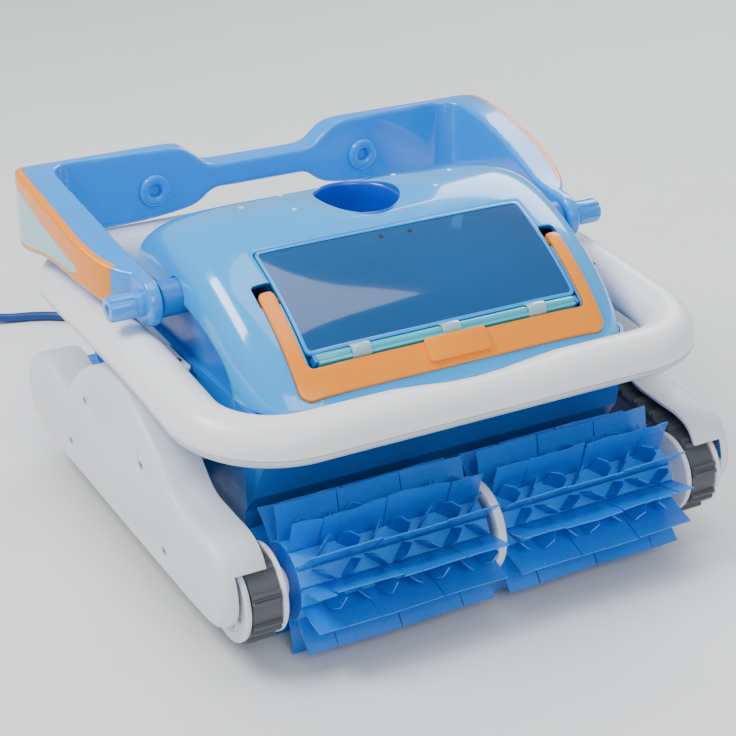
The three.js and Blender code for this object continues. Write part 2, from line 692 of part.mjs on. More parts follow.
const BAR_HALF = BASKET_HALF_X - BASKET_WALL - GAP;
add('lid_hinge_bar', inWindow(rodX(HINGE_R, -BAR_HALF, BAR_HALF, HINGE_S, HINGE_N, 16)), 'teal');

function windowLid() {
  const pane = common(cut(dome(0), dome(-LID_THICK)),
    windowBlock(-LID_HALF_X, LID_HALF_X, HINGE_S + HINGE_R + 0.5, WINDOW_TOP - LID_CLEAR, -20, 40));
  const knuckles = HINGE_SPANS.map((x) => {
    const ring = inWindow(latheX([[HINGE_R + RUN, x - KNUCKLE_HALF], [HINGE_R + 2, x - KNUCKLE_HALF],
      [HINGE_R + 2, x + KNUCKLE_HALF], [HINGE_R + RUN, x + KNUCKLE_HALF], [HINGE_R + RUN, x - KNUCKLE_HALF]],
      20, HINGE_S, HINGE_N));
    const web = windowBlock(x - KNUCKLE_HALF, x + KNUCKLE_HALF, HINGE_S + HINGE_R + 0.4,
      HINGE_S + HINGE_R + 4,
      HINGE_N - 2, HINGE_N + 10);
    return join(ring, common(web, dome(-0.5)));
  });
  return join(pane, ...knuckles);
}

add('window_lid', windowLid(), 'clear');

function bail() {
  const band = common(cut(dome(BAIL_PROUD), dome(-BAIL_SUNK)), bailPrism(0));
  const tab = windowBlock(-TAB_HALF_X, TAB_HALF_X, BAIL_TOP_S - 15, BAIL_TOP_S + 0.5, -6, 6);
  const tabHollow = windowBlock(-TAB_HALF_X - 1, TAB_HALF_X + 1, BAIL_TOP_S - 16, BAIL_TOP_S - 12, 2, 8);
  const lugs = [1, -1].map((side) => {
    const lug = join(
      windowBlock(BAIL_INNER_X, BAIL_INNER_X + 5, BAIL_PIVOT_S - 4, BAIL_END_S, BAIL_PIVOT_N - 4, 5),
      inWindow(rodX(2.5, BASKET_HALF_X - BASKET_WALL, BAIL_INNER_X + 5, BAIL_PIVOT_S, BAIL_PIVOT_N, 16)));
    return side > 0 ? lug : mirrored(lug);
  });
  return join(band, cut(common(tab, cut(dome(6), dome(-BAIL_SUNK))), tabHollow), ...lugs);
}

add('filter_bail', bail(), 'orange');

// ---------------------------------------------------------------- bumper

function bumperPath() {
  const loop = [
    ...arcPoints(BUMPER_HALF_X - BUMPER_CORNER_R, -BUMPER_FRONT_Y + BUMPER_CORNER_R, BUMPER_CORNER_R, -90,
      0, 5),
    [BUMPER_HALF_X, 10],
    ...arcPoints(BUMPER_HALF_X - BUMPER_CORNER_R, BUMPER_REAR_Y - BUMPER_CORNER_R, BUMPER_CORNER_R, 0, 90, 5),
  ];
  const other = [...loop].reverse().map(([x, y]) => [-x, y]);
  return [...loop, ...other].map(([x, y]) => {
    const back = THREE.MathUtils.clamp((y + BUMPER_FRONT_Y) / BUMPER_FRONT_Y, 0, 1);
    return [x, y, BUMPER_SEAM_Z + BUMPER_RISE * back * back * (3 - 2 * back)];
  });
}

// A half tube: the outer arc one way and the inner arc back, open at the seam.
function halfTube(rise, seam) {
  const steps = 5;
  const outer = [];
  const inner = [];
  for (let i = 0; i <= steps; i++) {
    const angle = Math.PI * i / steps;
    const wide = Math.cos(angle);
    const tall = Math.sign(rise) * Math.sin(angle) ** 0.9;
    outer.push([BUMPER_HALF_WIDE * wide, seam + Math.abs(rise) * tall]);
    inner.unshift([(BUMPER_HALF_WIDE - BUMPER_WALL) * wide, seam + (Math.abs(rise) - BUMPER_WALL) * tall]);
  }
  return [...outer, ...inner];
}

function bumperUpper() {
  const ring = loopSweep(bumperPath(), halfTube(BUMPER_UP, GAP / 2));
  return closed(ring);
}

add('bumper_upper', bumperUpper(), 'bumper');
add('bumper_lower', closed(loopSweep(bumperPath(), halfTube(-BUMPER_DOWN, -GAP / 2))), 'bumper');

// tabs that carry the bumper on the hull's rim flange
addPair('bumper_bracket', 'bumper', block(SHELL_HALF_WIDTH + 0.6, BUMPER_HALF_X - BUMPER_HALF_WIDE - GAP,
  -24, 24, SHELL_BASE_Z - 5, SHELL_BASE_Z - 2));

// ---------------------------------------------------------------- axles, wheels and brushes

const END_Y = { front: -AXLE_Y, rear: AXLE_Y };
const AXLE_END_X = WHEEL_OUTER_X + 5;

for (const [end, y] of Object.entries(END_Y)) {
  add(`${end}_axle`, rodX(AXLE_R, -AXLE_END_X, AXLE_END_X, y, AXLE_Z, 20), 'steel');
  addPair(`${end}_brush`, 'brush', brush(y));
  addPair(`${end}_wheel`, 'wheel', wheel(y));
  add(`${end}_centre_ring`, centreRing(y), 'bumper');
}

function brush(y) {
  const core = latheX([[AXLE_R + RUN, BRUSH_HALF_GAP], [BRUSH_CORE_R, BRUSH_HALF_GAP],
    [BRUSH_CORE_R, BRUSH_END_X],
    [AXLE_R + RUN, BRUSH_END_X], [AXLE_R + RUN, BRUSH_HALF_GAP]], FIN_COUNT * 2, 0, 0);
  const fins = [];
  for (let i = 0; i < FIN_COUNT; i++) {
    const fin = block(BRUSH_HALF_GAP, BRUSH_END_X, -FIN_THICK / 2, FIN_THICK / 2, BRUSH_CORE_R - 2,
      FIN_TIP_R);
    fins.push(fin.rotateX((i + 0.5) * FIN_STEP));
  }
  return join(core, ...fins).translate(0, y, AXLE_Z);
}

function wheel(y) {
  const hubStart = BRUSH_END_X + GAP;
  const inner = WHEEL_INNER_X;
  const outer = WHEEL_OUTER_X;
  return latheX([[AXLE_R + RUN, hubStart], [HUB_R, hubStart], [HUB_R, inner], [FLANGE_R, inner],
    [FLANGE_R, inner + FLANGE_THICK], [DRUM_R, inner + FLANGE_THICK], [DRUM_R, outer - FLANGE_THICK],
    [FLANGE_R, outer - FLANGE_THICK], [FLANGE_R, outer], [AXLE_R + RUN, outer],
    [AXLE_R + RUN, hubStart]], 20, y, AXLE_Z);
}

function centreRing(y) {
  const side = Math.sign(y);
  const wallY = side * (HULL_BASE_Y + GAP);
  const disc = rodX(RING_R, -RING_THICK / 2, RING_THICK / 2, y, AXLE_Z, 28);
  const arm = block(-RING_THICK / 2, RING_THICK / 2, Math.min(y, wallY), Math.max(y, wallY),
    AXLE_Z - 9, AXLE_Z + 9);
  return cut(join(disc, arm), rodX(AXLE_R + RUN, -RING_THICK, RING_THICK, y, AXLE_Z, 20));
}

function sprocket() {
  const inner = WHEEL_INNER_X;
  const outer = WHEEL_OUTER_X;
  const flange = SPROCKET_R + FLANGE_R - DRUM_R;
  const start = MOTOR_WALL_X - 12;
  return latheX([[0, start], [SHAFT_R, start], [SHAFT_R, inner], [flange, inner],
    [flange, inner + FLANGE_THICK],
    [SPROCKET_R, inner + FLANGE_THICK], [SPROCKET_R, outer - FLANGE_THICK], [flange, outer - FLANGE_THICK],
    [flange, outer], [0, outer]], 20, 0, SPROCKET_Z);
}

addPair('drive_sprocket', 'wheel', sprocket());

function trackBelt() {
  const wheels = [[-AXLE_Y, AXLE_Z, DRUM_R], [AXLE_Y, AXLE_Z, DRUM_R], [0, SPROCKET_Z, SPROCKET_R]];
  const outer = outline(ribbedLoop(beltLoop(wheels, GAP + BELT_THICK, 24), RIB_PITCH, RIB_WIDTH, RIB_HEIGHT));
  outer.holes.push(new THREE.Path(beltLoop(wheels, GAP, 24).map(([u, v]) => new THREE.Vector2(u, v))));
  const belt = new THREE.ExtrudeGeometry(outer, { depth: BELT_WIDTH, bevelEnabled: false });
  return belt.translate(0, 0, BELT_INNER_X).applyMatrix4(ALONG_X);
}

addPair('track_belt', 'belt', trackBelt());

// ---------------------------------------------------------------- side covers

const COVER_POINTS = [
  ...[[20, -21], [110, -22]].map(([v, w]) => [v - AXLE_Y, BODY_Z + w]),
  ...[[-110, -22], [-10, -22], [20, -16], [36, -1], [41, 16], [33, 36], [12, 51], [-15, 55], [-42, 47],
    [-58, 47]]
    .map(([v, w]) => [AXLE_Y + v, BODY_Z + w]),
  [AXLE_Y - 78, 124], [62, 146], [25, 158], [-14, 158], [-54, 145], [86 - AXLE_Y, 127],
  ...[[62, 53], [30, 50], [2, 49], [-16, 41], [-27, 21], [-27, 1], [-12, -16]]
    .map(([v, w]) => [v - AXLE_Y, BODY_Z + w]),
];
const COVER_SCREWS = [[64, 56.75], [104, 1.25], [-51, 53.75], [-90, -1.25]].map(([y, w]) => [y, BODY_Z + w]);

function sideCover() {
  const loop = smoothLoop(COVER_POINTS, 42);
  const whole = extrudeX(loop, COVER_HOOD_X, COVER_FACE_X);
  const inside = extrudeX(insetLoop(loop, COVER_WALL), COVER_HOOD_X - 1, COVER_FACE_X - COVER_WALL);
  const belowHoods = [
    block(COVER_HOOD_X - 1, COVER_LIP_X, -AXLE_Y - 60, AXLE_Y + 60, 0, BODY_Z + 14.75),
    block(COVER_HOOD_X - 1, COVER_LIP_X, -AXLE_Y - 60, -AXLE_Y, 0, BODY_Z + 30.75),
    block(COVER_HOOD_X - 1, COVER_LIP_X, AXLE_Y, AXLE_Y + 60, 0, BODY_Z + 30.75),
  ];
  const posts = COVER_SCREWS.map(([y, z]) => rodX(7, HULL_HALF_WIDTH + GAP, COVER_FACE_X - 1, y, z, 10));
  const axleBosses = [-AXLE_Y, AXLE_Y].map((y) => rodX(10, WHEEL_OUTER_X + 1, COVER_FACE_X - 1, y, AXLE_Z,
    12));
  const axleBores = [-AXLE_Y, AXLE_Y].map((y) =>
    rodX(AXLE_R + GAP, WHEEL_OUTER_X, AXLE_END_X + GAP, y, AXLE_Z, 12));
  const screwHoles = COVER_SCREWS.flatMap(([y, z]) => [
    rodX(SCREW_HEAD_R + GAP, COVER_FACE_X - 4 - GAP, COVER_FACE_X + 1, y, z, 10),
    rodX(SCREW_R - 1 + GAP, COVER_FACE_X - 30, COVER_FACE_X, y, z, 10),
  ]);
  return cut(join(cut(whole, inside, ...belowHoods), ...posts, ...axleBosses), ...axleBores, ...screwHoles);
}

addPair('side_cover', 'cover', sideCover());

COVER_SCREWS.forEach(([y, z], i) => {
  const head = COVER_FACE_X - 4;
  addPair(`cover_screw_${i + 1}`, 'steel', latheX([[0, head - 22], [SCREW_R - 1, head - 22],
    [SCREW_R - 1, head],
    [SCREW_HEAD_R, head], [SCREW_HEAD_R, head + 3], [0, head + 3]], 10, y, z));
});

// ---------------------------------------------------------------- handle

// Plan of the band that the handle is cut from; skin moves its outer edge inwards, spare its
// inner edge.
function handlePlan(skin, spare) {
  const half = [
    [EYE_OUTER_X, -22], [EYE_OUTER_X, 19], [216 - skin, 40], [226 - skin, 90], [229 - skin, 150],
    ...arcPoints(201 - skin, HANDLE_OUTER_Y - 28 - skin, 28, 0, 90, 5), [-1, HANDLE_OUTER_Y + 2 - skin],
  ];
  const inner = [
    [-1, HANDLE_INNER_Y], ...arcPoints(180, HANDLE_INNER_Y - 18, 18, 90, 0, 4), [196, 120], [EYE_INNER_X, 40],
    [EYE_INNER_X, -22],
  ].map(([x, y]) => [x - (x > 0 ? spare : 0), y - (y > 100 ? spare : 0)]);
  const right = extrudeZ([...half, ...inner], 150, 330);
  return join(right, mirrored(right));
}

const HANDLE_SIDE = [
  ...arcPoints(PIVOT_Y, PIVOT_Z, EYE_R, 95, 300, 12),
  [70, 212], [118, 214],
  ...[[-20, 203], [4, 200], [19, 206], [27, 220], [27, 250], [19, 264], [-1, 268], [-60, 263]]
    .map(([v, z]) => [HANDLE_INNER_Y + v, z]),
  [73, 248], [40, 240],
];

const HANDLE_FRONT = [
  [0, 220], [45, 220], [62, 208], [120, 201], [240, 199], [240, 270], [200, 268], [74, 263], [47, 243],
    [0, 243],
];

function handleBody() {
  const front = [...HANDLE_FRONT, ...[...HANDLE_FRONT].reverse().slice(1, -1).map(([x, z]) => [-x, z])];
  return common(handlePlan(0, 0), extrudeX(HANDLE_SIDE, -300, 300), extrudeY(front, -100, 300));
}

// The stretch of outer skin that the orange trim takes, moved inwards by a clearance.
function trimZone(clear) {
  return join(
    block(190 + clear, 300, 34 + clear, 300, 160, 300),
    block(74 + clear, 200, 150, 300, 256 + clear, 300));
}

const handleWhole = handleBody();
const handleCore = (skin) => handlePlan(skin, 4);

const HANDLE_WINDOW = [
  [86, 222], [118, 221],
  ...[[-19, 209], [7, 207], [18, 216], [19, 244], [11, 252], [-11, 244], [-51, 236]]
    .map(([v, z]) => [HANDLE_INNER_Y + v, z]),
  [100, 231], [86, 228],
];

function handleTrim() {
  return cut(common(handleWhole, trimZone(GAP)), handleCore(HANDLE_SKIN), extrudeX(HANDLE_WINDOW, 190, 300));
}

function handleWindow() {
  const skin = cut(handleWhole, handleCore(HANDLE_SKIN - 2));
  return common(skin, extrudeX(insetLoop([...HANDLE_WINDOW], GAP), 190 + GAP, 300));
}

const POCKET = { x0: 66, x1: 186, y0: HANDLE_INNER_Y + 4, z0: 211, z1: 252 };

function handleFrame() {
  const zone = trimZone(0);
  const taken = cut(join(zone, mirrored(zone)), handleCore(HANDLE_SKIN + GAP));
  const bosses = [LOBE_BOSS_X, -LOBE_BOSS_X].map((x) =>
    rodY(14.5, HANDLE_INNER_Y - 5, HANDLE_INNER_Y + 2, x, LOBE_BOSS_Z, 18));
  const bossHoles = [LOBE_BOSS_X, -LOBE_BOSS_X].map((x) =>
    rodY(5.5, HANDLE_INNER_Y - 6, HANDLE_INNER_Y + 3, x, LOBE_BOSS_Z, 12));
  const pocket = block(POCKET.x0, POCKET.x1, POCKET.y0, 300, POCKET.z0, POCKET.z1);
  const eyeHole = rodX(SHAFT_R + RUN, EYE_INNER_X - 1, EYE_OUTER_X + 1, PIVOT_Y, PIVOT_Z);
  return cut(join(cut(handleWhole, taken), ...bosses), ...bossHoles, pocket, mirrored(pocket),
    eyeHole, mirrored(eyeHole));
}

function handleFloat() {
  const inside = block(POCKET.x0 + GAP, POCKET.x1 - GAP, POCKET.y0 + GAP, 300, POCKET.z0 + GAP,
    POCKET.z1 - GAP);
  return common(handleWhole, inside);
}

add('handle_frame', handleFrame(), 'handle');
addPair('handle_trim', 'orange', handleTrim());
addPair('handle_window', 'handle_window', handleWindow());
addPair('handle_float', 'foam', handleFloat());

function knob() {
  const grip = latheX([[0, SIDE_WALL_X + 3], [SHAFT_R, SIDE_WALL_X + 3], [SHAFT_R, EYE_OUTER_X + GAP],
    [KNOB_R, EYE_OUTER_X + GAP], [KNOB_R, KNOB_END_X - 1.5], [KNOB_R - 1.5, KNOB_END_X], [0, KNOB_END_X]],
    18, PIVOT_Y, PIVOT_Z);
  const flutes = [];
  for (let i = 0; i < 6; i++) {
    const angle = i * Math.PI / 3;
    flutes.push(rodX(2.2, EYE_OUTER_X + 6, KNOB_END_X + 1, PIVOT_Y + (KNOB_R + 0.8) * Math.cos(angle),
      PIVOT_Z + (KNOB_R + 0.8) * Math.sin(angle), 6));
  }
  return cut(grip, ...flutes);
}

addPair('knob', 'handle', knob());

// ---------------------------------------------------------------- cable

const LAY_Z = CABLE_R + 0.2;

add('cable_gland', latheY([[CABLE_R + GAP, RELIEF_END_Y - 24], [CABLE_R + GAP, RELIEF_END_Y],
  [CABLE_R + 1.4, RELIEF_END_Y], [CABLE_R + 3.5, GLAND_FACE_Y + 10], [11, GLAND_FACE_Y + 9],
    [11, GLAND_FACE_Y + GAP],
  [8, GLAND_FACE_Y + GAP], [8, HULL_SHELF_Y], [0, HULL_SHELF_Y], [0, RELIEF_END_Y - 24],
  [CABLE_R + GAP, RELIEF_END_Y - 24]], 20, GLAND_X, GLAND_Z), 'cable');

// from the gland over the rear brush, down to the ground and into the coil's lowest turn
const LEAD_POINTS = [
  [GLAND_X, RELIEF_END_Y - 23.5, GLAND_Z], [GLAND_X, RELIEF_END_Y + 22, GLAND_Z - 0.5],
  [-60, 226, 129], [-60, 246, 116], [-60, 262, 95], [-60, 275, 68], [-60, 288, 40], [-60, 304, 17],
  [-60, 324, LAY_Z + 0.6], [-60, 346, LAY_Z], [-54, 368, LAY_Z],
];

// off the coil's top turn, down to the ground and out to the connector
const TAIL_POINTS = [
  [-53, 350, 31], [-56, 368, 27], [-60, 388, 20], [-66, 408, 12], [-75, 428, 6.5], [-90, 448, LAY_Z],
  [-108, 464, LAY_Z], [-128, 475, LAY_Z], [-150, 482, LAY_Z], [-170, 487, 7], [-186, 490, 10.5],
  [-198, 490, PLUG_R + 0.2], [-208, 490, PLUG_R + 0.2],
];

const COIL_HALF_WIDE = COIL_RINGS * CABLE_R;
const COIL_HIGH = COIL_LAYERS * 2 * CABLE_R;

function coilRing(grow) {
  const inner = COIL_MEAN_R - COIL_HALF_WIDE - grow;
  const outer = COIL_MEAN_R + COIL_HALF_WIDE + grow;
  const low = LAY_Z - CABLE_R - grow;
  const high = low + COIL_HIGH + 2 * grow;
  const soft = 2;
  return latheZ([[inner, low + soft], [inner + soft, low], [outer - soft, low], [outer, low + soft],
    [outer, high - soft], [outer - soft, high], [inner + soft, high], [inner, high - soft],
      [inner, low + soft]],
    28, COIL_X, COIL_Y);
}

function cableAlong(points) {
  const path = new THREE.CatmullRomCurve3(points.map(([x, y, z]) => new THREE.Vector3(x, y, z)));
  const section = outline(arcPoints(0, 0, CABLE_R, 0, 315, 7));
  const steps = Math.round(path.getLength() / (5 * CABLE_R));
  return new THREE.ExtrudeGeometry(section, { steps, bevelEnabled: false, extrudePath: path });
}

add('cable_coil', coilRing(0), 'cable');
add('cable_lead', cut(cableAlong(LEAD_POINTS), coilRing(GAP)), 'cable');
add('cable_tail', cut(cableAlong(TAIL_POINTS), coilRing(GAP)), 'cable');

const PLUG_END_X = TAIL_POINTS.at(-1)[0] - GAP;
add('cable_connector', latheX([[0, PLUG_END_X - 58], [PLUG_R - 3, PLUG_END_X - 58],
  [PLUG_R - 3, PLUG_END_X - 44],
  [PLUG_R, PLUG_END_X - 42], [PLUG_R, PLUG_END_X - 16], [CABLE_R + 1.5, PLUG_END_X], [0, PLUG_END_X]],
  20, TAIL_POINTS.at(-1)[1], PLUG_R + 0.2), 'motor');

export default group;
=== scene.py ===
# Robotic pool cleaner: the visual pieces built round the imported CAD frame.
# Sizes are in millimetres, and MM turns them into metres.
import math
import random

import bmesh
import bpy
from mathutils import Matrix, Vector


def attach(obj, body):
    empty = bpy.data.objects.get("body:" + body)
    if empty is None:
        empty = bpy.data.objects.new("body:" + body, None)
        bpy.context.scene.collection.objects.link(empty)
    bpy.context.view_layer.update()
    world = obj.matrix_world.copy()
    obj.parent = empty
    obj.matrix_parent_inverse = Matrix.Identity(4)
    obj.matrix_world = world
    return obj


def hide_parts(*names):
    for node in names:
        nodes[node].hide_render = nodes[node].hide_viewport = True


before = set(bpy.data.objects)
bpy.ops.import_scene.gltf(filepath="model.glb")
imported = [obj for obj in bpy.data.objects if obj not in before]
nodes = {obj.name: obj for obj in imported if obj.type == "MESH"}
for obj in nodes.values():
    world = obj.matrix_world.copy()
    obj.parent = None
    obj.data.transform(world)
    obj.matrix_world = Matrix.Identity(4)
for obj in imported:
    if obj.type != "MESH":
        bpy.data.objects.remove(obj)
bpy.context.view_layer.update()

MM = 0.001
SIDES = (("right", 1), ("left", -1))
ENDS = (("front", -1), ("rear", 1))

# ---------------------------------------------------------------- camera

YAW = math.radians(-29.56)
PITCH = math.radians(26.01)
ROLL = math.radians(0.58)

camera_data = bpy.data.cameras.new("camera")
camera_data.lens = 87.2
camera_data.sensor_width = 36
camera = bpy.data.objects.new("camera", camera_data)
bpy.context.scene.collection.objects.link(camera)
back = Vector((math.sin(YAW) * math.cos(PITCH), -math.cos(YAW) * math.cos(PITCH), math.sin(PITCH)))
right = Vector((math.cos(YAW), math.sin(YAW), 0))
up = back.cross(right)
cam_right = right * math.cos(ROLL) + up * math.sin(ROLL)
cam_up = up * math.cos(ROLL) - right * math.sin(ROLL)
pose = Matrix((cam_right, cam_up, back)).transposed().to_4x4()
pose.translation = Vector((-0.6606, -1.1619, 0.7713))
camera.matrix_world = pose
bpy.context.scene.camera = camera


# ---------------------------------------------------------------- materials

def new_material(name):
    material = bpy.data.materials.new(name)
    material.use_nodes = True
    tree = material.node_tree
    return material, tree, tree.nodes["Principled BSDF"]


def noise(tree, scale, detail=3.0, rough=0.5):
    coords = tree.nodes.new("ShaderNodeTexCoord")
    node = tree.nodes.new("ShaderNodeTexNoise")
    node.inputs["Scale"].default_value = scale
    node.inputs["Detail"].default_value = detail
    node.inputs["Roughness"].default_value = rough
    tree.links.new(coords.outputs["Object"], node.inputs["Vector"])
    return node


def ramp(tree, source, stops):
    node = tree.nodes.new("ShaderNodeValToRGB")
    elements = node.color_ramp.elements
    for i, (position, colour) in enumerate(stops):
        element = elements[i] if i < 2 else elements.new(position)
        element.position = position
        element.color = (*colour, 1)
    tree.links.new(source, node.inputs["Fac"])
    return node


def bump(tree, shader, height, strength, distance):
    """Raises the surface by a texture, without moving the mesh."""
    node = tree.nodes.new("ShaderNodeBump")
    node.inputs["Strength"].default_value = strength
    node.inputs["Distance"].default_value = distance
    tree.links.new(height, node.inputs["Height"])
    tree.links.new(node.outputs["Normal"], shader.inputs["Normal"])


def paint_socket(tree, shader, socket, source, stops):
    """Drives one of the shader's sockets from a ramp over a texture."""
    tree.links.new(ramp(tree, source, stops).outputs["Color"], shader.inputs[socket])


def shade(colour, factor):
    return tuple(min(1.0, c * factor) for c in colour)


def plastic(name, colour, rough, grain=900, relief=0.05, coat=0.0, spread=0.06, dirt=0.0, subsurface=0.0):
    """Moulded plastic: slow colour drift, mottled gloss and a fine moulded grain."""
    material, tree, shader = new_material(name)
    drift = noise(tree, 9, 4)
    tint = ramp(tree, drift.outputs["Fac"], [(0.3, shade(colour, 1 - spread)),
                                             (0.7, shade(colour, 1 + spread))])
    base = tint.outputs["Color"]
    if dirt:
        stain = noise(tree, 38, 6, 0.65)
        mask = ramp(tree, stain.outputs["Fac"], [(0.56, (0, 0, 0)), (0.78, (dirt, dirt, dirt))])
        mix = tree.nodes.new("ShaderNodeMix")
        mix.data_type = "RGBA"
        mix.inputs[7].default_value = (*shade(colour, 0.55), 1)
        tree.links.new(mask.outputs["Color"], mix.inputs[0])
        tree.links.new(base, mix.inputs[6])
        base = mix.outputs[2]
    tree.links.new(base, shader.inputs["Base Color"])
    gloss = noise(tree, 60, 5)
    low, high = max(0.02, rough - 0.05), min(1.0, rough + 0.07)
    paint_socket(tree, shader, "Roughness", gloss.outputs["Fac"], [(0.35, (low,) * 3), (0.7, (high,) * 3)])
    bump(tree, shader, noise(tree, grain, 2).outputs["Fac"], relief, 0.4 * MM)
    shader.inputs["Coat Weight"].default_value = coat
    shader.inputs["Coat Roughness"].default_value = 0.035
    if subsurface:
        shader.inputs["Subsurface Weight"].default_value = subsurface
        shader.inputs["Subsurface Scale"].default_value = 0.006
    return material


def clear_plastic(name, colour, transmission, rough=0.04):
    """See-through plastic with a slow drift of colour and haze and a faint ripple."""
    material, tree, shader = new_material(name)
    paint_socket(tree, shader, "Base Color", noise(tree, 14, 3).outputs["Fac"],
                 [(0.3, shade(colour, 0.92)), (0.7, shade(colour, 1.08))])
    paint_socket(tree, shader, "Roughness", noise(tree, 22, 3).outputs["Fac"],
                 [(0.4, (rough,) * 3), (0.75, (rough + 0.03,) * 3)])
    bump(tree, shader, noise(tree, 26, 2).outputs["Fac"], 0.05, 0.5 * MM)
    shader.inputs["Transmission Weight"].default_value = transmission
    shader.inputs["IOR"].default_value = 1.46
    shader.inputs["Coat Weight"].default_value = 0.6
    shader.inputs["Coat Roughness"].default_value = 0.09
    return material


def rubber(name, colour, rough=0.6, grain=700, relief=0.25):
    return plastic(name, colour, rough, grain, relief, 0.0, 0.12, 0.35)


def steel(name):
    material, tree, shader = new_material(name)
    shader.inputs["Metallic"].default_value = 1.0
    lines = noise(tree, 420, 2)
    paint_socket(tree, shader, "Base Color", lines.outputs["Fac"],
                 [(0.3, (0.42, 0.43, 0.45)), (0.7, (0.66, 0.67, 0.69))])
    paint_socket(tree, shader, "Roughness", lines.outputs["Fac"], [(0.3, (0.22,) * 3), (0.7, (0.42,) * 3)])
    return material


def woven(name, colour):
    """Filter cloth: crossing threads from two wave textures."""
    material, tree, shader = new_material(name)
    coords = tree.nodes.new("ShaderNodeTexCoord")
    bands = []
    for direction in ("X", "Y"):
        wave = tree.nodes.new("ShaderNodeTexWave")
        wave.bands_direction = direction
        wave.inputs["Scale"].default_value = 260
        tree.links.new(coords.outputs["Object"], wave.inputs["Vector"])
        bands.append(wave)
    both = tree.nodes.new("ShaderNodeMath")
    both.operation = "MULTIPLY"
    tree.links.new(bands[0].outputs["Fac"], both.inputs[0])
    tree.links.new(bands[1].outputs["Fac"], both.inputs[1])
    paint_socket(tree, shader, "Base Color", both.outputs[0], [(0.1, shade(colour, 0.45)), (0.6, colour)])
    bump(tree, shader, both.outputs[0], 0.6, 0.6 * MM)
    shader.inputs["Roughness"].default_value = 0.85
    return material


LIGHT_BLUE = (0.0, 0.36, 0.86)
MATERIALS = {
    "shell": plastic("shell_plastic", LIGHT_BLUE, 0.17, 1500, 0.02, 0.7, 0.04),
    "hull": plastic("hull_plastic", (0.0, 0.175, 0.62), 0.34, 900, 0.06, 0.1, 0.08, 0.2),
    "duct": plastic("duct_plastic", (0.0, 0.075, 0.58), 0.25, 1200, 0.03, 0.4),
    "clear": clear_plastic("lid_plastic", (0.0, 0.17, 0.52), 0.62, 0.02),
    "lid_rim": plastic("lid_rim_plastic", (0.0, 0.30, 0.82), 0.12, 1200, 0.02, 0.8),
    "teal": plastic("teal_plastic", (0.03, 0.42, 0.52), 0.22, 1200, 0.03, 0.5),
    "clip": clear_plastic("clip_plastic", (0.55, 0.85, 0.90), 0.55, 0.08),
    "orange": plastic("orange_plastic", (0.95, 0.27, 0.0), 0.30, 1300, 0.03, 0.15, 0.04),
    "bumper": plastic("bumper_plastic", (0.86, 0.865, 0.87), 0.34, 800, 0.08, 0.1, 0.03, 0.08, 0.1),
    "bumper_low": plastic("bumper_low_plastic", (0.60, 0.62, 0.65), 0.40, 800, 0.08, 0.05, 0.03, 0.15, 0.1),
    "cover": plastic("cover_plastic", (0.74, 0.755, 0.78), 0.42, 620, 0.16, 0.05, 0.03, 0.12, 0.05),
    "belt": rubber("belt_rubber", (0.075, 0.082, 0.092), 0.45),
    "wheel": plastic("wheel_plastic", (0.78, 0.80, 0.82), 0.38, 800, 0.08, 0.05, 0.04, 0.2),
    "brush": plastic("brush_rubber", (0.0, 0.19, 0.70), 0.30, 600, 0.10, 0.2, 0.10, 0.10, 0.12),
    # brush tabs: the brush blue made darker, painted shade on the tabs' faces
    "brush_tab_painted_shade": plastic("tab_painted_shade_rubber", (0.0, 0.15, 0.58), 0.30, 600, 0.10, 0.2, 0.10, 0.10, 0.1),
    "brush_strip": plastic("brush_strip_rubber", (0.0, 0.27, 0.80), 0.30, 600, 0.10, 0.2, 0.10, 0.10, 0.1),
    "brush_core": plastic("brush_core_plastic", (0.0, 0.10, 0.50), 0.40, 600, 0.12, 0.05, 0.10, 0.25),
    "handle": plastic("handle_plastic", (0.0, 0.29, 0.85), 0.20, 1300, 0.03, 0.6, 0.04),
    "handle_window": clear_plastic("handle_window_plastic", (0.34, 0.78, 0.88), 0.30, 0.08),
    "motor": plastic("motor_plastic", (0.030, 0.032, 0.036), 0.42, 700, 0.12, 0.0, 0.10, 0.2),
    "steel": steel("screw_steel"),
    "mesh": woven("filter_cloth", (0.55, 0.58, 0.60)),
    "foam": rubber("float_foam", (0.010, 0.085, 0.30), 0.7, 380, 0.5),
    "cable": plastic("cable_jacket", (0.0, 0.05, 0.24), 0.38, 500, 0.1, 0.1, 0.08, 0.15),
    "dark": plastic("slot_shadow", (0.012, 0.013, 0.016), 0.6, 700, 0.1),
    "pale_dot": plastic("pale_dot_plastic", (0.62, 0.74, 0.86), 0.3, 900, 0.05, 0.2),
}
MATERIALS["floor"] = plastic("floor_paint", (0.80, 0.80, 0.79), 0.62, 300, 0.05, 0.0, 0.012)


# ---------------------------------------------------------------- mesh helpers

def mesh_piece(name, vertices, faces, material):
    mesh = bpy.data.meshes.new(name)
    mesh.from_pydata([tuple(c * MM for c in v) for v in vertices], [], faces)
    mesh.materials.append(MATERIALS[material])
    piece = bpy.data.objects.new(name, mesh)
    bpy.context.scene.collection.objects.link(piece)
    build = bmesh.new()
    build.from_mesh(mesh)
    bmesh.ops.remove_doubles(build, verts=build.verts, dist=1e-6)
    bmesh.ops.recalc_face_normals(build, faces=build.faces)
    build.to_mesh(mesh)
    build.free()
    return piece


def apply_modifiers(piece):
    graph = bpy.context.evaluated_depsgraph_get()
    mesh = bpy.data.meshes.new_from_object(piece.evaluated_get(graph))
    piece.modifiers.clear()
    old = piece.data
    piece.data = mesh
    bpy.data.meshes.remove(old)


def boolean(piece, cutters, operation="DIFFERENCE"):
    for cutter in cutters:
        step = piece.modifiers.new("cut", "BOOLEAN")
        step.operation = operation
        step.solver = "MANIFOLD"
        step.object = cutter
        apply_modifiers(piece)
        bpy.data.objects.remove(cutter)
    return piece


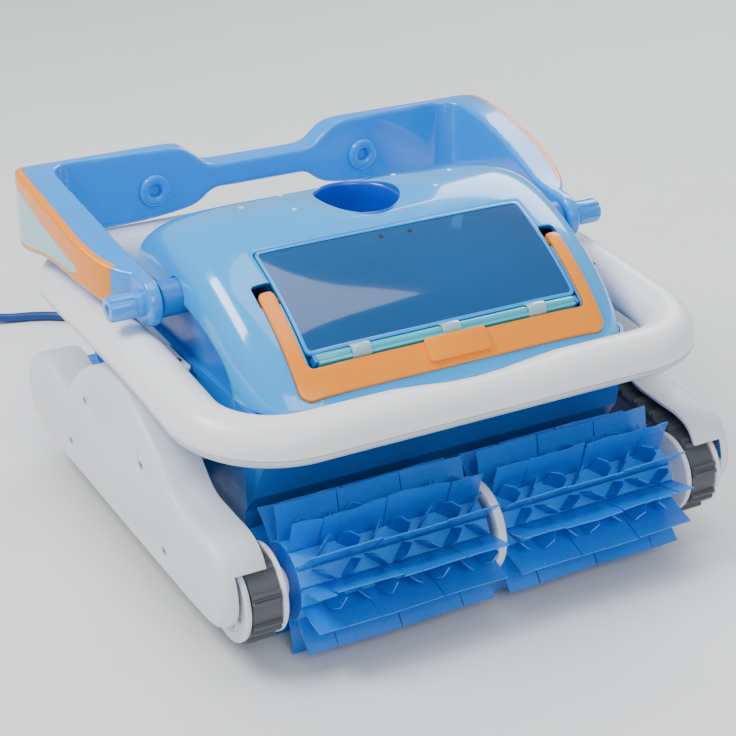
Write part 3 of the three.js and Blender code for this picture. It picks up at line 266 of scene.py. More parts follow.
def soften(piece, width, segments=2, angle=35):
    """Rounds the edges sharper than the angle."""
    step = piece.modifiers.new("round", "BEVEL")
    step.width = width * MM
    step.segments = segments
    step.limit_method = "ANGLE"
    step.angle_limit = math.radians(angle)
    step.use_clamp_overlap = True
    step.harden_normals = False
    apply_modifiers(piece)
    return piece


def smooth(piece, angle=40):
    for polygon in piece.data.polygons:
        polygon.use_smooth = True
    build = bmesh.new()
    build.from_mesh(piece.data)
    for edge in build.edges:
        if len(edge.link_faces) == 2:
            edge.smooth = edge.calc_face_angle(0) < math.radians(angle)
    build.to_mesh(piece.data)
    build.free()
    return piece


def ship(piece, body, replaced=(), angle=40):
    smooth(piece, angle)
    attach(piece, body)
    if replaced:
        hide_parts(*replaced)
    return piece


def join_meshes(name, pieces):
    """Joins loose pieces into one object; each keeps its own material."""
    build = bmesh.new()
    slots = []
    for piece in pieces:
        offset = {}
        for i, own in enumerate(piece.data.materials):
            if own not in slots:
                slots.append(own)
            offset[i] = slots.index(own)
        start = len(build.faces)
        build.from_mesh(piece.data)
        build.faces.ensure_lookup_table()
        for face in build.faces[start:]:
            face.material_index = offset.get(face.material_index, 0)
    mesh = bpy.data.meshes.new(name)
    build.to_mesh(mesh)
    build.free()
    for own in slots:
        mesh.materials.append(own)
    for piece in pieces:
        bpy.data.objects.remove(piece)
    joined = bpy.data.objects.new(name, mesh)
    bpy.context.scene.collection.objects.link(joined)
    return joined


def box_piece(name, x0, x1, y0, y1, z0, z1, material="hull", place=None):
    corners = [(x, y, z) for x in (x0, x1) for y in (y0, y1) for z in (z0, z1)]
    if place:
        corners = [place(*c) for c in corners]
    faces = [(0, 1, 3, 2), (4, 6, 7, 5), (0, 4, 5, 1), (2, 3, 7, 6), (0, 2, 6, 4), (1, 5, 7, 3)]
    return mesh_piece(name, corners, faces, material)


def prism(name, loop, low, high, axis, material="hull", place=None):
    """Extrudes a closed 2-D loop along an axis; the loop's two coordinates are the other two, in order."""
    order = {"x": lambda u, v, t: (t, u, v), "y": lambda u, v, t: (u, t, v), "z": lambda u, v,
             t: (u, v, t)}[axis]
    count = len(loop)
    points = [order(u, v, t) for t in (low, high) for u, v in loop]
    if place:
        points = [place(*p) for p in points]
    faces = [tuple(range(count)), tuple(range(2 * count - 1, count - 1, -1))]
    faces += [(i, (i + 1) % count, count + (i + 1) % count, count + i) for i in range(count)]
    return mesh_piece(name, points, faces, material)


def lathe(name, profile, axis, centre, material, segments=48, closed=False, place=None):
    """Turns (radius, along) points round an axis through the centre."""
    order = {"x": lambda a, b, t: (t, a, b), "y": lambda a, b, t: (a, t, b), "z": lambda a, b,
             t: (a, b, t)}[axis]
    points = []
    rings = []
    for radius, along in profile:
        if radius < 1e-6:
            rings.append([len(points)] * segments)
            points.append(order(0, 0, along))
            continue
        rings.append(list(range(len(points), len(points) + segments)))
        for k in range(segments):
            angle = 2 * math.pi * k / segments
            points.append(order(radius * math.cos(angle), radius * math.sin(angle), along))
    faces = []
    spans = len(rings) if closed else len(rings) - 1
    for j in range(spans):
        a, b = rings[j], rings[(j + 1) % len(rings)]
        for k in range(segments):
            n = (k + 1) % segments
            face = [a[k], a[n], b[n], b[k]]
            face = [v for i, v in enumerate(face) if v not in face[:i]]
            if len(face) > 2:
                faces.append(tuple(face))
    points = [tuple(c + o for c, o in zip(p, centre)) for p in points]
    if place:
        points = [place(*p) for p in points]
    return mesh_piece(name, points, faces, material)


def rod(name, radius, low, high, axis, centre, material="hull", segments=32, place=None):
    return lathe(name, [(0, low), (radius, low), (radius, high), (0, high)], axis, centre, material, segments,
                 place=place)


def arc(cx, cy, r, start, end, steps):
    angles = [math.radians(start + (end - start) * i / steps) for i in range(steps + 1)]
    return [(cx + r * math.cos(a), cy + r * math.sin(a)) for a in angles]


def between(p0, p1, p2, p3, t):
    """A point of the Catmull-Rom curve from p1 to p2, at the share t of the way."""
    return tuple(0.5 * (2 * b + (c - a) * t + (2 * a - 5 * b + 4 * c - d) * t * t
                        + (3 * b - a - 3 * c + d) * t ** 3)
                 for a, b, c, d in zip(p0, p1, p2, p3))


def smooth_loop(points, per_leg):
    """A closed Catmull-Rom curve through the points."""
    out = []
    count = len(points)
    for i in range(count):
        p0, p1, p2, p3 = (points[(i + k) % count] for k in (-1, 0, 1, 2))
        for j in range(per_leg):
            t = j / per_leg
            out.append(between(p0, p1, p2, p3, t))
    return out


def smooth_line(points, per_leg):
    """An open Catmull-Rom curve through the points."""
    ends = [tuple(2 * a - b for a, b in zip(points[0], points[1])), *points,
            tuple(2 * a - b for a, b in zip(points[-1], points[-2]))]
    out = []
    for i in range(1, len(ends) - 2):
        for j in range(per_leg):
            t = j / per_leg
            out.append(between(*ends[i - 1:i + 3], t))
    return [*out, points[-1]]


def inset(loop, distance):
    out = []
    count = len(loop)
    for i, (u, v) in enumerate(loop):
        pu, pv = loop[i - 1]
        nu, nv = loop[(i + 1) % count]
        length = math.hypot(nu - pu, nv - pv)
        out.append((u - distance * (nv - pv) / length, v + distance * (nu - pu) / length))
    return out


def mirrored(points):
    return [(-x, y, z) for x, y, z in points]


def to_side(piece, side, y=0.0, z=0.0):
    """Mirrors a piece that is drawn on the right if it goes on the left, and moves it to (y, z)."""
    piece.data.transform(Matrix.Translation((0, y * MM, z * MM)) @ Matrix.Diagonal((side, 1, 1, 1)))
    if side < 0:
        piece.data.flip_normals()
    return piece


def mirror_copy(piece, name):
    """A copy of a finished piece, mirrored across the middle plane."""
    copy = piece.copy()
    copy.data = piece.data.copy()
    copy.name = name
    copy.data.name = name
    bpy.context.scene.collection.objects.link(copy)
    copy.data.transform(Matrix.Scale(-1, 4, Vector((1, 0, 0))))
    copy.data.flip_normals()
    return copy


# ---------------------------------------------------------------- cable

LAY_Z = 4.7
CABLE_R = 4.5
COIL = (60, 345)
LEAD = [(-60, 154.5, 134), (-60, 178, 134), (-60, 200, 133.5), (-60, 226, 129), (-60, 246, 116), (-60, 262, 95),
        (-60, 275, 68), (-60, 288, 40), (-60, 304, 17), (-60, 324, 5.3), (-60, 346, 4.7), (-54, 368, 4.7)]
TAIL = [(-53, 350, 31), (-56, 368, 27), (-60, 388, 20), (-66, 408, 12), (-75, 428, 6.5), (-90, 448, 4.7),
        (-108, 464, 4.7), (-128, 475, 4.7), (-150, 482, 4.7), (-170, 487, 7), (-186, 490, 10.5),
        (-198, 490, 11.2), (-208, 490, 11.2)]


def coil_points():
    """Four layers of seven turns, wound inwards and outwards by turns, clockwise from above."""
    rings = [108 - 9 * k for k in range(7)]
    radii = rings + rings[::-1] + rings + rings[::-1]
    steps = 36
    points = []
    for turn, radius in enumerate(radii):
        level = turn // 7
        following = radii[turn + 1] if turn < 27 else radius
        for k in range(steps if turn < 27 else steps - 4):
            share = k / steps
            ease = min(1.0, max(0.0, (share - 0.84) / 0.16))
            ease = ease * ease * (3 - 2 * ease)
            r = radius + (following - radius) * ease
            lift = 9 * ease if turn % 7 == 6 and turn < 27 else 0
            angle = math.radians(145) - 2 * math.pi * share
            points.append((COIL[0] + r * math.cos(angle), COIL[1] + r * math.sin(angle),
                           LAY_Z + 9 * level + lift))
    return points


cable_path = smooth_line(LEAD, 6)[:-1] + smooth_line([LEAD[-1], (-44, 389, 4.7), coil_points()[0]], 4)[:-1]
cable_path += coil_points() + smooth_line(TAIL, 6)
cable_path = [(x, y, max(z, LAY_Z)) for x, y, z in cable_path]
cable_curve = bpy.data.curves.new("floating_cable", "CURVE")
cable_curve.dimensions = "3D"
cable_curve.bevel_depth = CABLE_R * MM
cable_curve.bevel_resolution = 4
spline = cable_curve.splines.new("POLY")
spline.points.add(len(cable_path) - 1)
for point, place in zip(spline.points, cable_path):
    point.co = (*(c * MM for c in place), 1)
spline.use_smooth = True
cable = bpy.data.objects.new("floating_cable", cable_curve)
cable_curve.materials.append(MATERIALS["cable"])
bpy.context.scene.collection.objects.link(cable)
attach(cable, "chassis")
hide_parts("cable_lead", "cable_coil", "cable_tail")

gland = lathe("cable_relief", [
    (4.8, 154), (4.8, 177.9), (5.9, 177.9), (6.4, 176.6), (5.7, 175.4), (5.7, 173.6), (6.9, 172.4),
    (6.9, 170.4),
    (6.0, 169.4), (6.0, 167.6), (7.5, 166.2), (7.5, 163.8), (6.5, 162.6), (6.5, 160.8), (8.1, 159.4),
    (8.1, 156.4),
    (7.2, 155.2), (7.4, 152.8), (10.4, 151.6), (11, 150.6), (11, 143.6), (10.6, 142.4), (8, 142.4), (8, 121),
    (4.8, 121)],
    "y", (-60, 0, 134), "cable", 40, closed=True)
ship(gland, "chassis", ["cable_gland"], 30)

plug_x = -208.3
plug = lathe("cable_plug", [
    (0, plug_x), (5.8, plug_x), (6.4, plug_x - 1), (7.4, plug_x - 4), (7.0, plug_x - 5), (8.2, plug_x - 8),
    (7.8, plug_x - 9), (9.4, plug_x - 12.5), (9.0, plug_x - 13.5), (10.6, plug_x - 16), (11, plug_x - 17),
    (11, plug_x - 20), (10.4, plug_x - 21), (10.4, plug_x - 25), (11, plug_x - 26), (11, plug_x - 30),
    (10.4, plug_x - 31),
    (10.4, plug_x - 35), (11, plug_x - 36), (11, plug_x - 41), (10.2, plug_x - 42.4), (8, plug_x - 43.4),
    (8, plug_x - 57.4), (7.4, plug_x - 58), (5.4, plug_x - 58), (5.4, plug_x - 50), (0, plug_x - 50)],
    "x", (0, 490, 11.2), "motor", 40)
ship(plug, "chassis", ["cable_connector"], 30)

# ---------------------------------------------------------------- shell

BASE_Z = 172
CREST_Y = 20
EYE = (5, 218)  # (y, z) of the handle's pivot
OUTLET = (0, 24.7, 0)


def dome_profile(offset, front=44, rear=34):
    height = 95 + offset
    points = []
    for i in range(front + 1):
        t = math.pi / 2 * i / front
        points.append((CREST_Y - (168 + offset) * math.cos(t) ** 1.25, height * math.sin(t) ** (2 / 1.35)))
    for i in range(rear - 1, -1, -1):
        t = math.pi / 2 * i / rear
        points.append((CREST_Y + (128 + offset) * math.cos(t), height * math.sin(t) ** 1.25))
    return points


def dome(name, offset, material="shell", drop=0.0, stations=64):
    """The shell's outer form, grown by an offset, as a closed solid."""
    profile = dome_profile(offset)
    half = 170 + offset
    size = len(profile)
    points = []
    for j in range(stations + 1):
        theta = math.pi * (j / stations - 0.5)
        side = math.sin(theta)
        x = half * math.copysign(abs(side) ** (2 / 7), side) if abs(side) > 1e-9 else 0.0
        scale = (1 - min(1.0, abs(x / half)) ** 7) ** (1 / 7)
        for y, z in profile:
            points.append((x, CREST_Y + (y - CREST_Y) * scale, BASE_Z + drop + z * scale))
    faces = []
    for j in range(stations):
        for i in range(size - 1):
            a = j * size + i
            faces.append((a, a + 1, a + size + 1, a + size))
        faces.append((j * size, j * size + size, j * size + 2 * size - 1, j * size + size - 1))
    return mesh_piece(name, points, faces, material)


TILT = math.radians(27.5)


def window(x, s, n):
    """A point of the lid's tilted plane: across, up the slope, outwards."""
    return (x, -77 + s * math.cos(TILT) - n * math.sin(TILT), 232 + s * math.sin(TILT) + n * math.cos(TILT))


def window_prism(name, loop, low, high, material="hull"):
    return prism(name, loop, low, high, "z", material, window)


def rounded(x0, x1, v0, v1, r, steps=6):
    return [*arc(x0 + r, v0 + r, r, 180, 270, steps), *arc(x1 - r, v0 + r, r, 270, 360, steps),
            *arc(x1 - r, v1 - r, r, 0, 90, steps), *arc(x0 + r, v1 - r, r, 90, 180, steps)]


def bail_loop(clear, top=12.0):
    outer, inner, low, high = 135 + clear, 123 - clear, -79.5 - clear, -59 + clear
    big, small = 9 + clear, 5.0
    end = top + clear
    return [
        *arc(-outer + big, low + big, big, 180, 270, 8), *arc(outer - big, low + big, big, 270, 360, 8),
        *arc(outer - 4, end - 4, 4, 0, 90, 5), *arc(inner + 4, end - 4, 4, 90, 180, 5),
        *arc(inner - small, high + small, small, 0, -90, 6),
        *arc(-inner + small, high + small, small, -90, -180, 6),
        *arc(-inner - 4, end - 4, 4, 0, 90, 5), *arc(-outer + 4, end - 4, 4, 90, 180, 5)]


shell = dome("shell", 0)
boolean(shell, [dome("inner", -3, drop=-0.6)])
recess = boolean(dome("recess", 8), [dome("recess_low", -1.5)])
boolean(recess, [window_prism("recess_shape", bail_loop(0.5), -40, 40)], "INTERSECT")
cutters = [recess, window_prism("opening", rounded(-121, 121, -59.3, 55, 6), -25, 30),
           rod("outlet", 35.3, BASE_Z + 40, BASE_Z + 105, "z", OUTLET, segments=96)]
for name, side in SIDES:
    reach = sorted((side * 140, side * 176))
    shape = [(CREST_Y + 112 * math.cos(a), BASE_Z - 2 + 48 * math.sin(a))
             for a in (math.pi * i / 48 for i in range(49))]
    cutters.append(prism("arch", shape, *reach, "x"))
    cutters.append(rod("boss", 15.2, *reach, "x", (0, *EYE), segments=48))
    across = sorted((side * 120, side * 136.5))
    cutters.append(window_prism("pocket", rounded(*across, -1, 22, 3.5), -14, 30))
    for y, z in ((-118, 207), (148, 190)):
        cutters.append(rod("dimple", 3.6, *sorted((side * 150, side * 175)), "x", (0, y, z), segments=20))
boolean(shell, cutters)
soften(shell, 1.1, 2, 48)
ship(shell, "chassis", ["top_shell"], 42)

# small moulded dots beside the outlet, each a low button
dots = []
for x, y in ((-62, 14), (-52, 58), (55, 60), (66, 10), (-96, 40), (96, 38)):
    half = 170.0
    scale = (1 - (abs(x) / half) ** 7) ** (1 / 7)
    run = min(1.0, abs(y - CREST_Y) / ((128 if y > CREST_Y else 168) * scale))
    angle = math.acos(run if y > CREST_Y else run ** 0.8)
    high = BASE_Z + 95 * math.sin(angle) ** (1.25 if y > CREST_Y else 2 / 1.35) * scale
    dots.append(lathe("dot", [(0, high - 1.5), (2.2, high - 1.5), (2.2, high + 0.25), (1.7, high + 0.6),
                              (0, high + 0.7)], "z", (x, y, 0), "pale_dot", 20))
ship(join_meshes("shell_dots", dots), "chassis")

# ---------------------------------------------------------------- outlet

duct = lathe("outlet_throat", [
    (35, 176), (38, 176), (38, 262.2), (36.4, 263.4), (35, 262.6), (34.2, 260.5), (34.6, 250), (35, 240)],
    "z", OUTLET, "duct", 96, closed=True)
spokes = [duct]
for i in range(3):
    arm = box_piece("spoke", 6, 35.5, -2, 2, 176, 182, "duct")
    arm.data.transform(Matrix.Translation((0, OUTLET[1] * MM, 0)) @ Matrix.Rotation(2 * math.pi * i / 3, 4,
                                                                                    "Z"))
    spokes.append(soften(arm, 0.8, 2))
spokes.append(lathe("hub", [(4.35, 176), (9, 176), (9, 181), (8.2, 182), (4.35, 182)], "z", OUTLET, "duct", 48,
                    closed=True))
ship(join_meshes("outlet_duct_visual", spokes), "chassis", ["outlet_duct"])

# impeller: four twisted blades on a rounded hub
parts = [lathe("hub", [(0, 150.4), (4, 150.4), (4, 187), (8, 188.5), (9, 191), (9, 203), (7.5, 208), (4, 212.5),
                       (0, 214)], "z", OUTLET, "wheel", 48)]
for i in range(4):
    points = []
    for a in range(9):
        r = 6 + (30.6 - 6) * a / 8
        twist = math.radians(60 - 22 * a / 8)
        half = 8.6 - 1.2 * a / 8
        for b in range(7):
            t = -half + 2 * half * b / 6
            for thick in (-1.1, 1.1):
                across = t * math.sin(twist) + thick * math.cos(twist)
                points.append((r, across, t * math.cos(twist) - thick * math.sin(twist)))
    faces = []
    for a in range(8):
        for b in range(6):
            for k in (0, 1):
                p = (a * 7 + b) * 2 + k
                faces.append((p, p + 2, p + 16, p + 14))
    for a in range(8):
        for b in (0, 6):
            p = (a * 7 + b) * 2
            faces.append((p, p + 1, p + 15, p + 14))
    for b in range(6):
        for a in (0, 8):
            p = (a * 7 + b) * 2
            faces.append((p, p + 1, p + 3, p + 2))
    blade = mesh_piece("blade", points, faces, "wheel")
    blade.data.transform(Matrix.Translation((0, OUTLET[1] * MM, 196 * MM)) @ Matrix.Rotation(math.pi * i / 2,
                                                                                             4, "Z"))
    parts.append(blade)
ship(join_meshes("impeller_visual", parts), "impeller", ["impeller"])

# ---------------------------------------------------------------- lid, hinge and bail

HINGE_BAR = (0, -52, -4.4)  # on the window plane
LID = rounded(-119.8, 119.8, -47.5, 53.8, 5)
LID_INNER = rounded(-117.2, 117.2, -44.9, 51.2, 3.5)
pane = boolean(dome("pane", 0, "clear"), [dome("pane_low", -2.5, "clear")])
boolean(pane, [window_prism("pane_shape", LID_INNER, -30, 40, "clear")], "INTERSECT")
rim = boolean(dome("rim", 0.7, "lid_rim"), [dome("rim_low", -2.8, "lid_rim")])
boolean(rim, [window_prism("rim_out", LID, -30, 40, "lid_rim")], "INTERSECT")
boolean(rim, [window_prism("rim_in", rounded(-117.15, 117.15, -44.85, 51.15, 3.5), -40, 50, "lid_rim")])
soften(rim, 0.5, 2, 50)
lid_parts = [pane, rim]
for x in (-78, 0, 78):
    ring = lathe("clip", [(4.35, x - 8), (6, x - 8), (6, x + 8), (4.35, x + 8)], "x", HINGE_BAR, "clip", 40,
                 closed=True, place=window)
    web = window_prism("web", rounded(x - 8, x + 8, -48.2, -42, 1.6), -8, 1.2, "clip")
    boolean(web, [dome("web_top", -0.2, "clip")], "INTERSECT")
    lid_parts += [soften(ring, 0.4, 2), web]
# two short studs of the dark shadow material, barely above the pane: painted shade for two small holes
for x in (-13, 13):
    pin = lathe("pin", [(0, -12), (1.7, -12), (1.7, 30), (0, 30)], "z", (x, 44, 0), "dark", 20, place=window)
    boolean(pin, [dome("pin_top", 0.65, "dark")], "INTERSECT")
    lid_parts.append(boolean(pin, [dome("pin_low", -1.5, "dark")]))
ship(join_meshes("window_lid_visual", lid_parts), "lid", ["window_lid"])

bar = lathe("hinge_bar", [
    (0, -114.2), (3.4, -114.2), (4, -113.4), (4, -86.6), (3.5, -86.2), (3.5, -69.8), (4, -69.4), (4, -8.6),
    (3.5, -8.2), (3.5, 8.2), (4, 8.6), (4, 69.4), (3.5, 69.8), (3.5, 86.2), (4, 86.6), (4, 113.4), (3.4, 114.2),
    (0, 114.2)], "x", HINGE_BAR, "teal", 40, place=window)
ledge = window_prism("ledge", rounded(-114, 114, -57.4, -54.6, 1.2), -11, -2, "teal")
ship(join_meshes("lid_hinge_visual", [bar, ledge]), "cassette", ["lid_hinge_bar"])

band = boolean(dome("band", 2.2, "orange"), [dome("band_low", -1, "orange")])
boolean(band, [window_prism("band_shape", bail_loop(0), -40, 40, "orange")], "INTERSECT")
soften(band, 0.9, 2, 48)
tab = dome("tab", 6, "orange")
boolean(tab, [dome("tab_low", -1, "orange")])
boolean(tab, [window_prism("tab_shape", rounded(-27, 27, -76, -58.2, 2.5), -8, 30, "orange")], "INTERSECT")
boolean(tab, [window_prism("tab_groove", rounded(-30, 30, -71.4, -68.8, 0.8), 0.5, 30, "orange")])
soften(tab, 1.0, 2, 48)
bail_parts = [band, tab]
for name, side in SIDES:
    lug = window_prism("lug", rounded(*sorted((side * 123.2, side * 128)), 4, 12, 1.2), -10, 3, "orange")
    bail_parts += [soften(lug, 0.6, 2), rod("pin", 2.5, *sorted((side * 114.5, side * 128)), "x", (0, 8, -6),
                                            "orange",
                                            24, window)]
ship(join_meshes("filter_bail_visual", bail_parts), "bail", ["filter_bail"])

# ---------------------------------------------------------------- bumper

BUMPER_X = 207
FRONT_Y = -170
REAR_Y = 203
CORNER_R = 62


def bumper_path():
    half = [(x, FRONT_Y) for x in (0, 24, 48, 72, 96, 120)]
    half += arc(BUMPER_X - CORNER_R, FRONT_Y + CORNER_R, CORNER_R, -90, 0, 18)
    half += [(BUMPER_X, y) for y in (-80, -50, -20, 10, 40, 70, 100)]
    half += arc(BUMPER_X - CORNER_R, REAR_Y - CORNER_R, CORNER_R, 0, 90, 18)
    half += [(x, REAR_Y) for x in (110, 80, 50, 25, 0)]
    loop = half + [(-x, y) for x, y in half[-2:0:-1]]
    out = []
    for x, y in loop:
        share = min(1.0, max(0.0, (y - FRONT_Y) / -FRONT_Y))
        out.append((x, y, 166 + 9 * share * share * (3 - 2 * share)))
    return out


def sweep_loop(name, path, section, material, shape=None):
    count = len(path)
    size = len(section)
    points = []
    for i, (x, y, z) in enumerate(path):
        bx, by, _ = path[i - 1]
        ax, ay, _ = path[(i + 1) % count]
        length = math.hypot(ax - bx, ay - by)
        nx, ny = (ay - by) / length, -(ax - bx) / length
        for out, lift in section:
            if shape:
                out, lift = shape(x, y, out, lift)
            points.append((x + nx * out, y + ny * out, z + lift))
    faces = []
    for i in range(count):
        for j in range(size):
            k = (j + 1) % size
            n = (i + 1) % count
            faces.append((i * size + j, i * size + k, n * size + k, n * size + j))
    return mesh_piece(name, points, faces, material)


def tube_section(height, wall=3.0, steps=22):
    sign = math.copysign(1, height)
    tall = abs(height)
    outer = [(20.3, 0.15 * sign), (20.8, 0.5 * sign)]
    for i in range(1, steps):
        a = math.pi * i / steps
        outer.append((21 * math.cos(a), sign * (tall * math.sin(a) ** 0.9)))
    outer += [(-20.8, 0.5 * sign), (-20.3, 0.15 * sign)]
    inner = []
    for i in range(steps, -1, -1):
        a = math.pi * i / steps
        inner.append(((21 - wall) * math.cos(a), sign * ((tall - wall) * math.sin(a) ** 0.9 + 0.15)))
    return outer + inner


def scoop(x, y, out, lift):
    """The front's top is dished on its inner side, below the bail's tab."""
    if y > -120 or abs(x) > 78 or lift <= 0 or out > 9:
        return out, lift
    depth = 6.5 * (1 - (x / 78) ** 2) ** 2 * min(1.0, (9 - out) / 16) * min(1.0, lift / 12)
    return out, lift - depth


path = bumper_path()
bumper_top = sweep_loop("bumper_top", path, tube_section(24), "bumper", scoop)
slots = []
for x, y, turn in ((-192, -52, 90), (-150, -146, 20), (-58, -157, 0), (62, -157, 0), (150, -146, -20),
                   (192, -40, 90),
                   (192, 60, 90), (-192, 70, 90)):
    slot = prism("slot", rounded(-5, 5, -1.1, 1.1, 1.0, 4), 150, 215, "z", "dark")
    slot.data.transform(Matrix.Translation((x * MM, y * MM, 0)) @ Matrix.Rotation(math.radians(turn), 4, "Z"))
    slots.append(slot)
boolean(bumper_top, slots)
ship(bumper_top, "chassis", ["bumper_upper"], 50)
ship(sweep_loop("bumper_bottom", path, tube_section(-11), "bumper_low"), "chassis",
     ["bumper_lower"], 50)

for name, side in SIDES:
    reach = sorted((side * 170.6, side * 185.6))
    tab = soften(prism("bracket", rounded(*reach, -24, 24, 4), 167, 170, "z", "bumper"), 0.8, 2)
    rib = soften(box_piece("rib", *sorted((side * 174, side * 183)), 8, 11, 163.5, 167.2, "bumper"), 0.5, 2)
    head = lathe("screw", [(0, 169.6), (4.4, 169.6), (4.4, 171.2), (3.4, 172), (1.9, 172), (1.6, 170.8),
                           (0, 170.8)], "z",
                 (side * 178, -10, 0), "steel", 24)
    hole = lathe("eyelet", [(2, 169.8), (3.4, 169.8), (3.4, 170.7), (2, 170.7)], "z", (side * 178, 13, 0),
                 "bumper_low", 24,
                 closed=True)
    ship(join_meshes(f"bumper_bracket_{name}_visual", [tab, rib, head, hole]), "chassis",
         [f"bumper_bracket_{name}"])

# ---------------------------------------------------------------- side covers

COVER = [(-150, 36), (-60, 35), (60, 35), (160, 35), (190, 41), (206, 56), (211, 73), (203, 93), (182, 108),
         (155, 112), (128, 104), (112, 104), (92, 124), (62, 146), (25, 158), (-14, 158), (-54, 145),
         (-84, 127),
         (-108, 110), (-140, 107), (-168, 106), (-186, 98), (-197, 78), (-197, 58), (-182, 41)]
SCREWS = [(64, 114), (104, 58.5), (-51, 111), (-90, 56)]
AXLE_Y = 170
AXLE_Z = 57.25
DRUM_R = 28.7
SPROCKET_R = 20.7
SPROCKET_Z = 82
AXLE_BORE_R = 5.35


def loft_x(name, loops, material):
    """Joins loops of equal length, each ((y, z) points, x), into a closed solid."""
    size = len(loops[0][0])
    points = [(x, u, v) for loop, x in loops for u, v in loop]
    faces = [tuple(range(size)), tuple(range(len(points) - size, len(points)))]
    for j in range(len(loops) - 1):
        for i in range(size):
            n = (i + 1) % size
            faces.append((j * size + i, j * size + n, (j + 1) * size + n, (j + 1) * size + i))
    return mesh_piece(name, points, faces, material)


def side_cover():
    loop = smooth_loop(COVER, 8)
    fillet = 7.0
    loops = [(inset(loop, 0.6), 192), (loop, 192.8), (loop, 228 - fillet)]
    for k in range(1, 7):
        a = math.pi / 2 * k / 6
        loops.append((inset(loop, fillet * (1 - math.cos(a))), 228 - fillet + fillet * math.sin(a)))
    whole = loft_x("cover", loops, "cover")
    inner = inset(loop, 3)
    cuts = [loft_x("inside", [(inner, 190), (inner, 220), (inset(loop, 5.5), 223.5), (inset(loop, 9), 225)],
                   "cover"),
            box_piece("below", 191, 217, -240, 240, 0, 72),
            prism("front_arch", rounded(-260, -AXLE_Y, -10, 88, 9), 191, 217, "x"),
            prism("rear_arch", rounded(AXLE_Y, 260, -10, 88, 9), 191, 217, "x")]
    boolean(whole, cuts)
    return whole


cover = side_cover()
posts = [rod("post", 6.8, 168.4, 226, "x", (0, y, z), "cover", 32) for y, z in SCREWS]
posts += [rod("axle_boss", 9.8, 215.1, 226, "x", (0, side * AXLE_Y, AXLE_Z), "cover", 32) for side in (1, -1)]
for post in posts:
    boolean(cover, [post], "UNION")
holes = [rod("bore", AXLE_BORE_R, 214, 219.4, "x", (0, side * AXLE_Y, AXLE_Z), "cover", 32) for side in (1, -1)]
for y, z in SCREWS:
    holes += [rod("head", 4.35, 223.6, 230, "x", (0, y, z), "cover", 32),
              rod("shank", 2.6, 198, 226, "x", (0, y, z), "cover", 24)]
boolean(cover, holes)
soften(cover, 0.7, 2, 50)
ship(mirror_copy(cover, "side_cover_left_visual"), "chassis", ["side_cover_left"], 42)
cover.name = "side_cover_right_visual"
ship(cover, "chassis", ["side_cover_right"], 42)

for k, (y, z) in enumerate(SCREWS):
    for name, side in SIDES:
        screw = lathe("screw", [(0, 202), (2.1, 202), (2.1, 222.6), (2.4, 223.7), (3.9, 223.9), (4, 225.4),
                                (3.4, 226.6),
                                (1.9, 227), (1.7, 225.2), (0, 225)], "x", (0, 0, 0), "steel", 28)
        to_side(screw, side, y, z)
        screw.name = f"cover_screw_{k + 1}_{name}_visual"
        ship(screw, "chassis", [f"cover_screw_{k + 1}_{name}"], 35)

# ---------------------------------------------------------------- wheels, sprockets, rings

for end, sign in ENDS:
    for name, side in SIDES:
        wheel = lathe("wheel", [
            (AXLE_BORE_R, 168.3), (11.4, 168.3), (12, 169), (12, 178), (13, 179), (30, 179), (33, 179.4),
            (34, 180.4),
            (34, 182.6), (33.2, 183.8), (28.7, 184.2), (28.7, 208.8), (33.2, 209.2), (34, 210.4), (34, 212.8),
            (33, 213.8), (26, 213.9), (24.6, 212.6), (16, 212.6), (14.6, 213.9), (AXLE_BORE_R, 213.9)],
            "x", (0, 0, 0), "wheel", 72, closed=True)
        pockets = []
        for k in range(8):
            a = math.pi * (k + 0.5) / 4
            pockets.append(rod("pocket", 3.2, 210.2, 216, "x", (0, 20.3 * math.cos(a), 20.3 * math.sin(a)),
                               "wheel", 20))
        boolean(wheel, pockets)
        to_side(wheel, side, sign * AXLE_Y, AXLE_Z)
        wheel.name = f"{end}_wheel_{name}_visual"
        ship(wheel, f"roller_{end}_{name}", [f"{end}_wheel_{name}"], 35)

for name, side in SIDES:
    sprocket = lathe("sprocket", [
        (0, 152.9), (5.6, 152.9), (6, 153.4), (6, 178), (7, 179), (25, 179), (26, 180), (26, 183), (25.2, 184),
        (20.7, 184.3), (20.7, 208.7), (25.2, 209), (26, 210), (26, 213), (25, 213.9), (0, 213.9)],
        "x", (0, 0, 0), "wheel", 64)
    boolean(sprocket, [rod("pocket", 2.6, 210.5, 216, "x", (0, 14 * math.cos(a), 14 * math.sin(a)), "wheel", 18)
                       for a in (math.pi * k / 3 for k in range(6))])
    to_side(sprocket, side, 0, SPROCKET_Z)
    sprocket.name = f"drive_sprocket_{name}_visual"
    ship(sprocket, f"sprocket_{name}", [f"drive_sprocket_{name}"], 35)

for end, sign in ENDS:
    ring = lathe("centre_ring", [(AXLE_BORE_R, -3.6), (30, -3.6), (31, -4), (36.8, -4), (37.7, -3.4),
                                 (38, -2.4), (38, 2.4),
                                 (37.7, 3.4), (36.8, 4), (31, 4), (30, 3.6), (AXLE_BORE_R, 3.6)],
                 "x", (0, sign * AXLE_Y, AXLE_Z), "wheel", 96, closed=True)
    arm = box_piece("arm", -3.9, 3.9, *sorted((sign * 108.4, sign * 134)), AXLE_Z - 8.9, AXLE_Z + 8.9, "wheel")
    ship(join_meshes(f"{end}_centre_ring_visual", [ring, soften(arm, 1.2, 2)]), "chassis",
         [f"{end}_centre_ring"], 35)

# ---------------------------------------------------------------- track belts


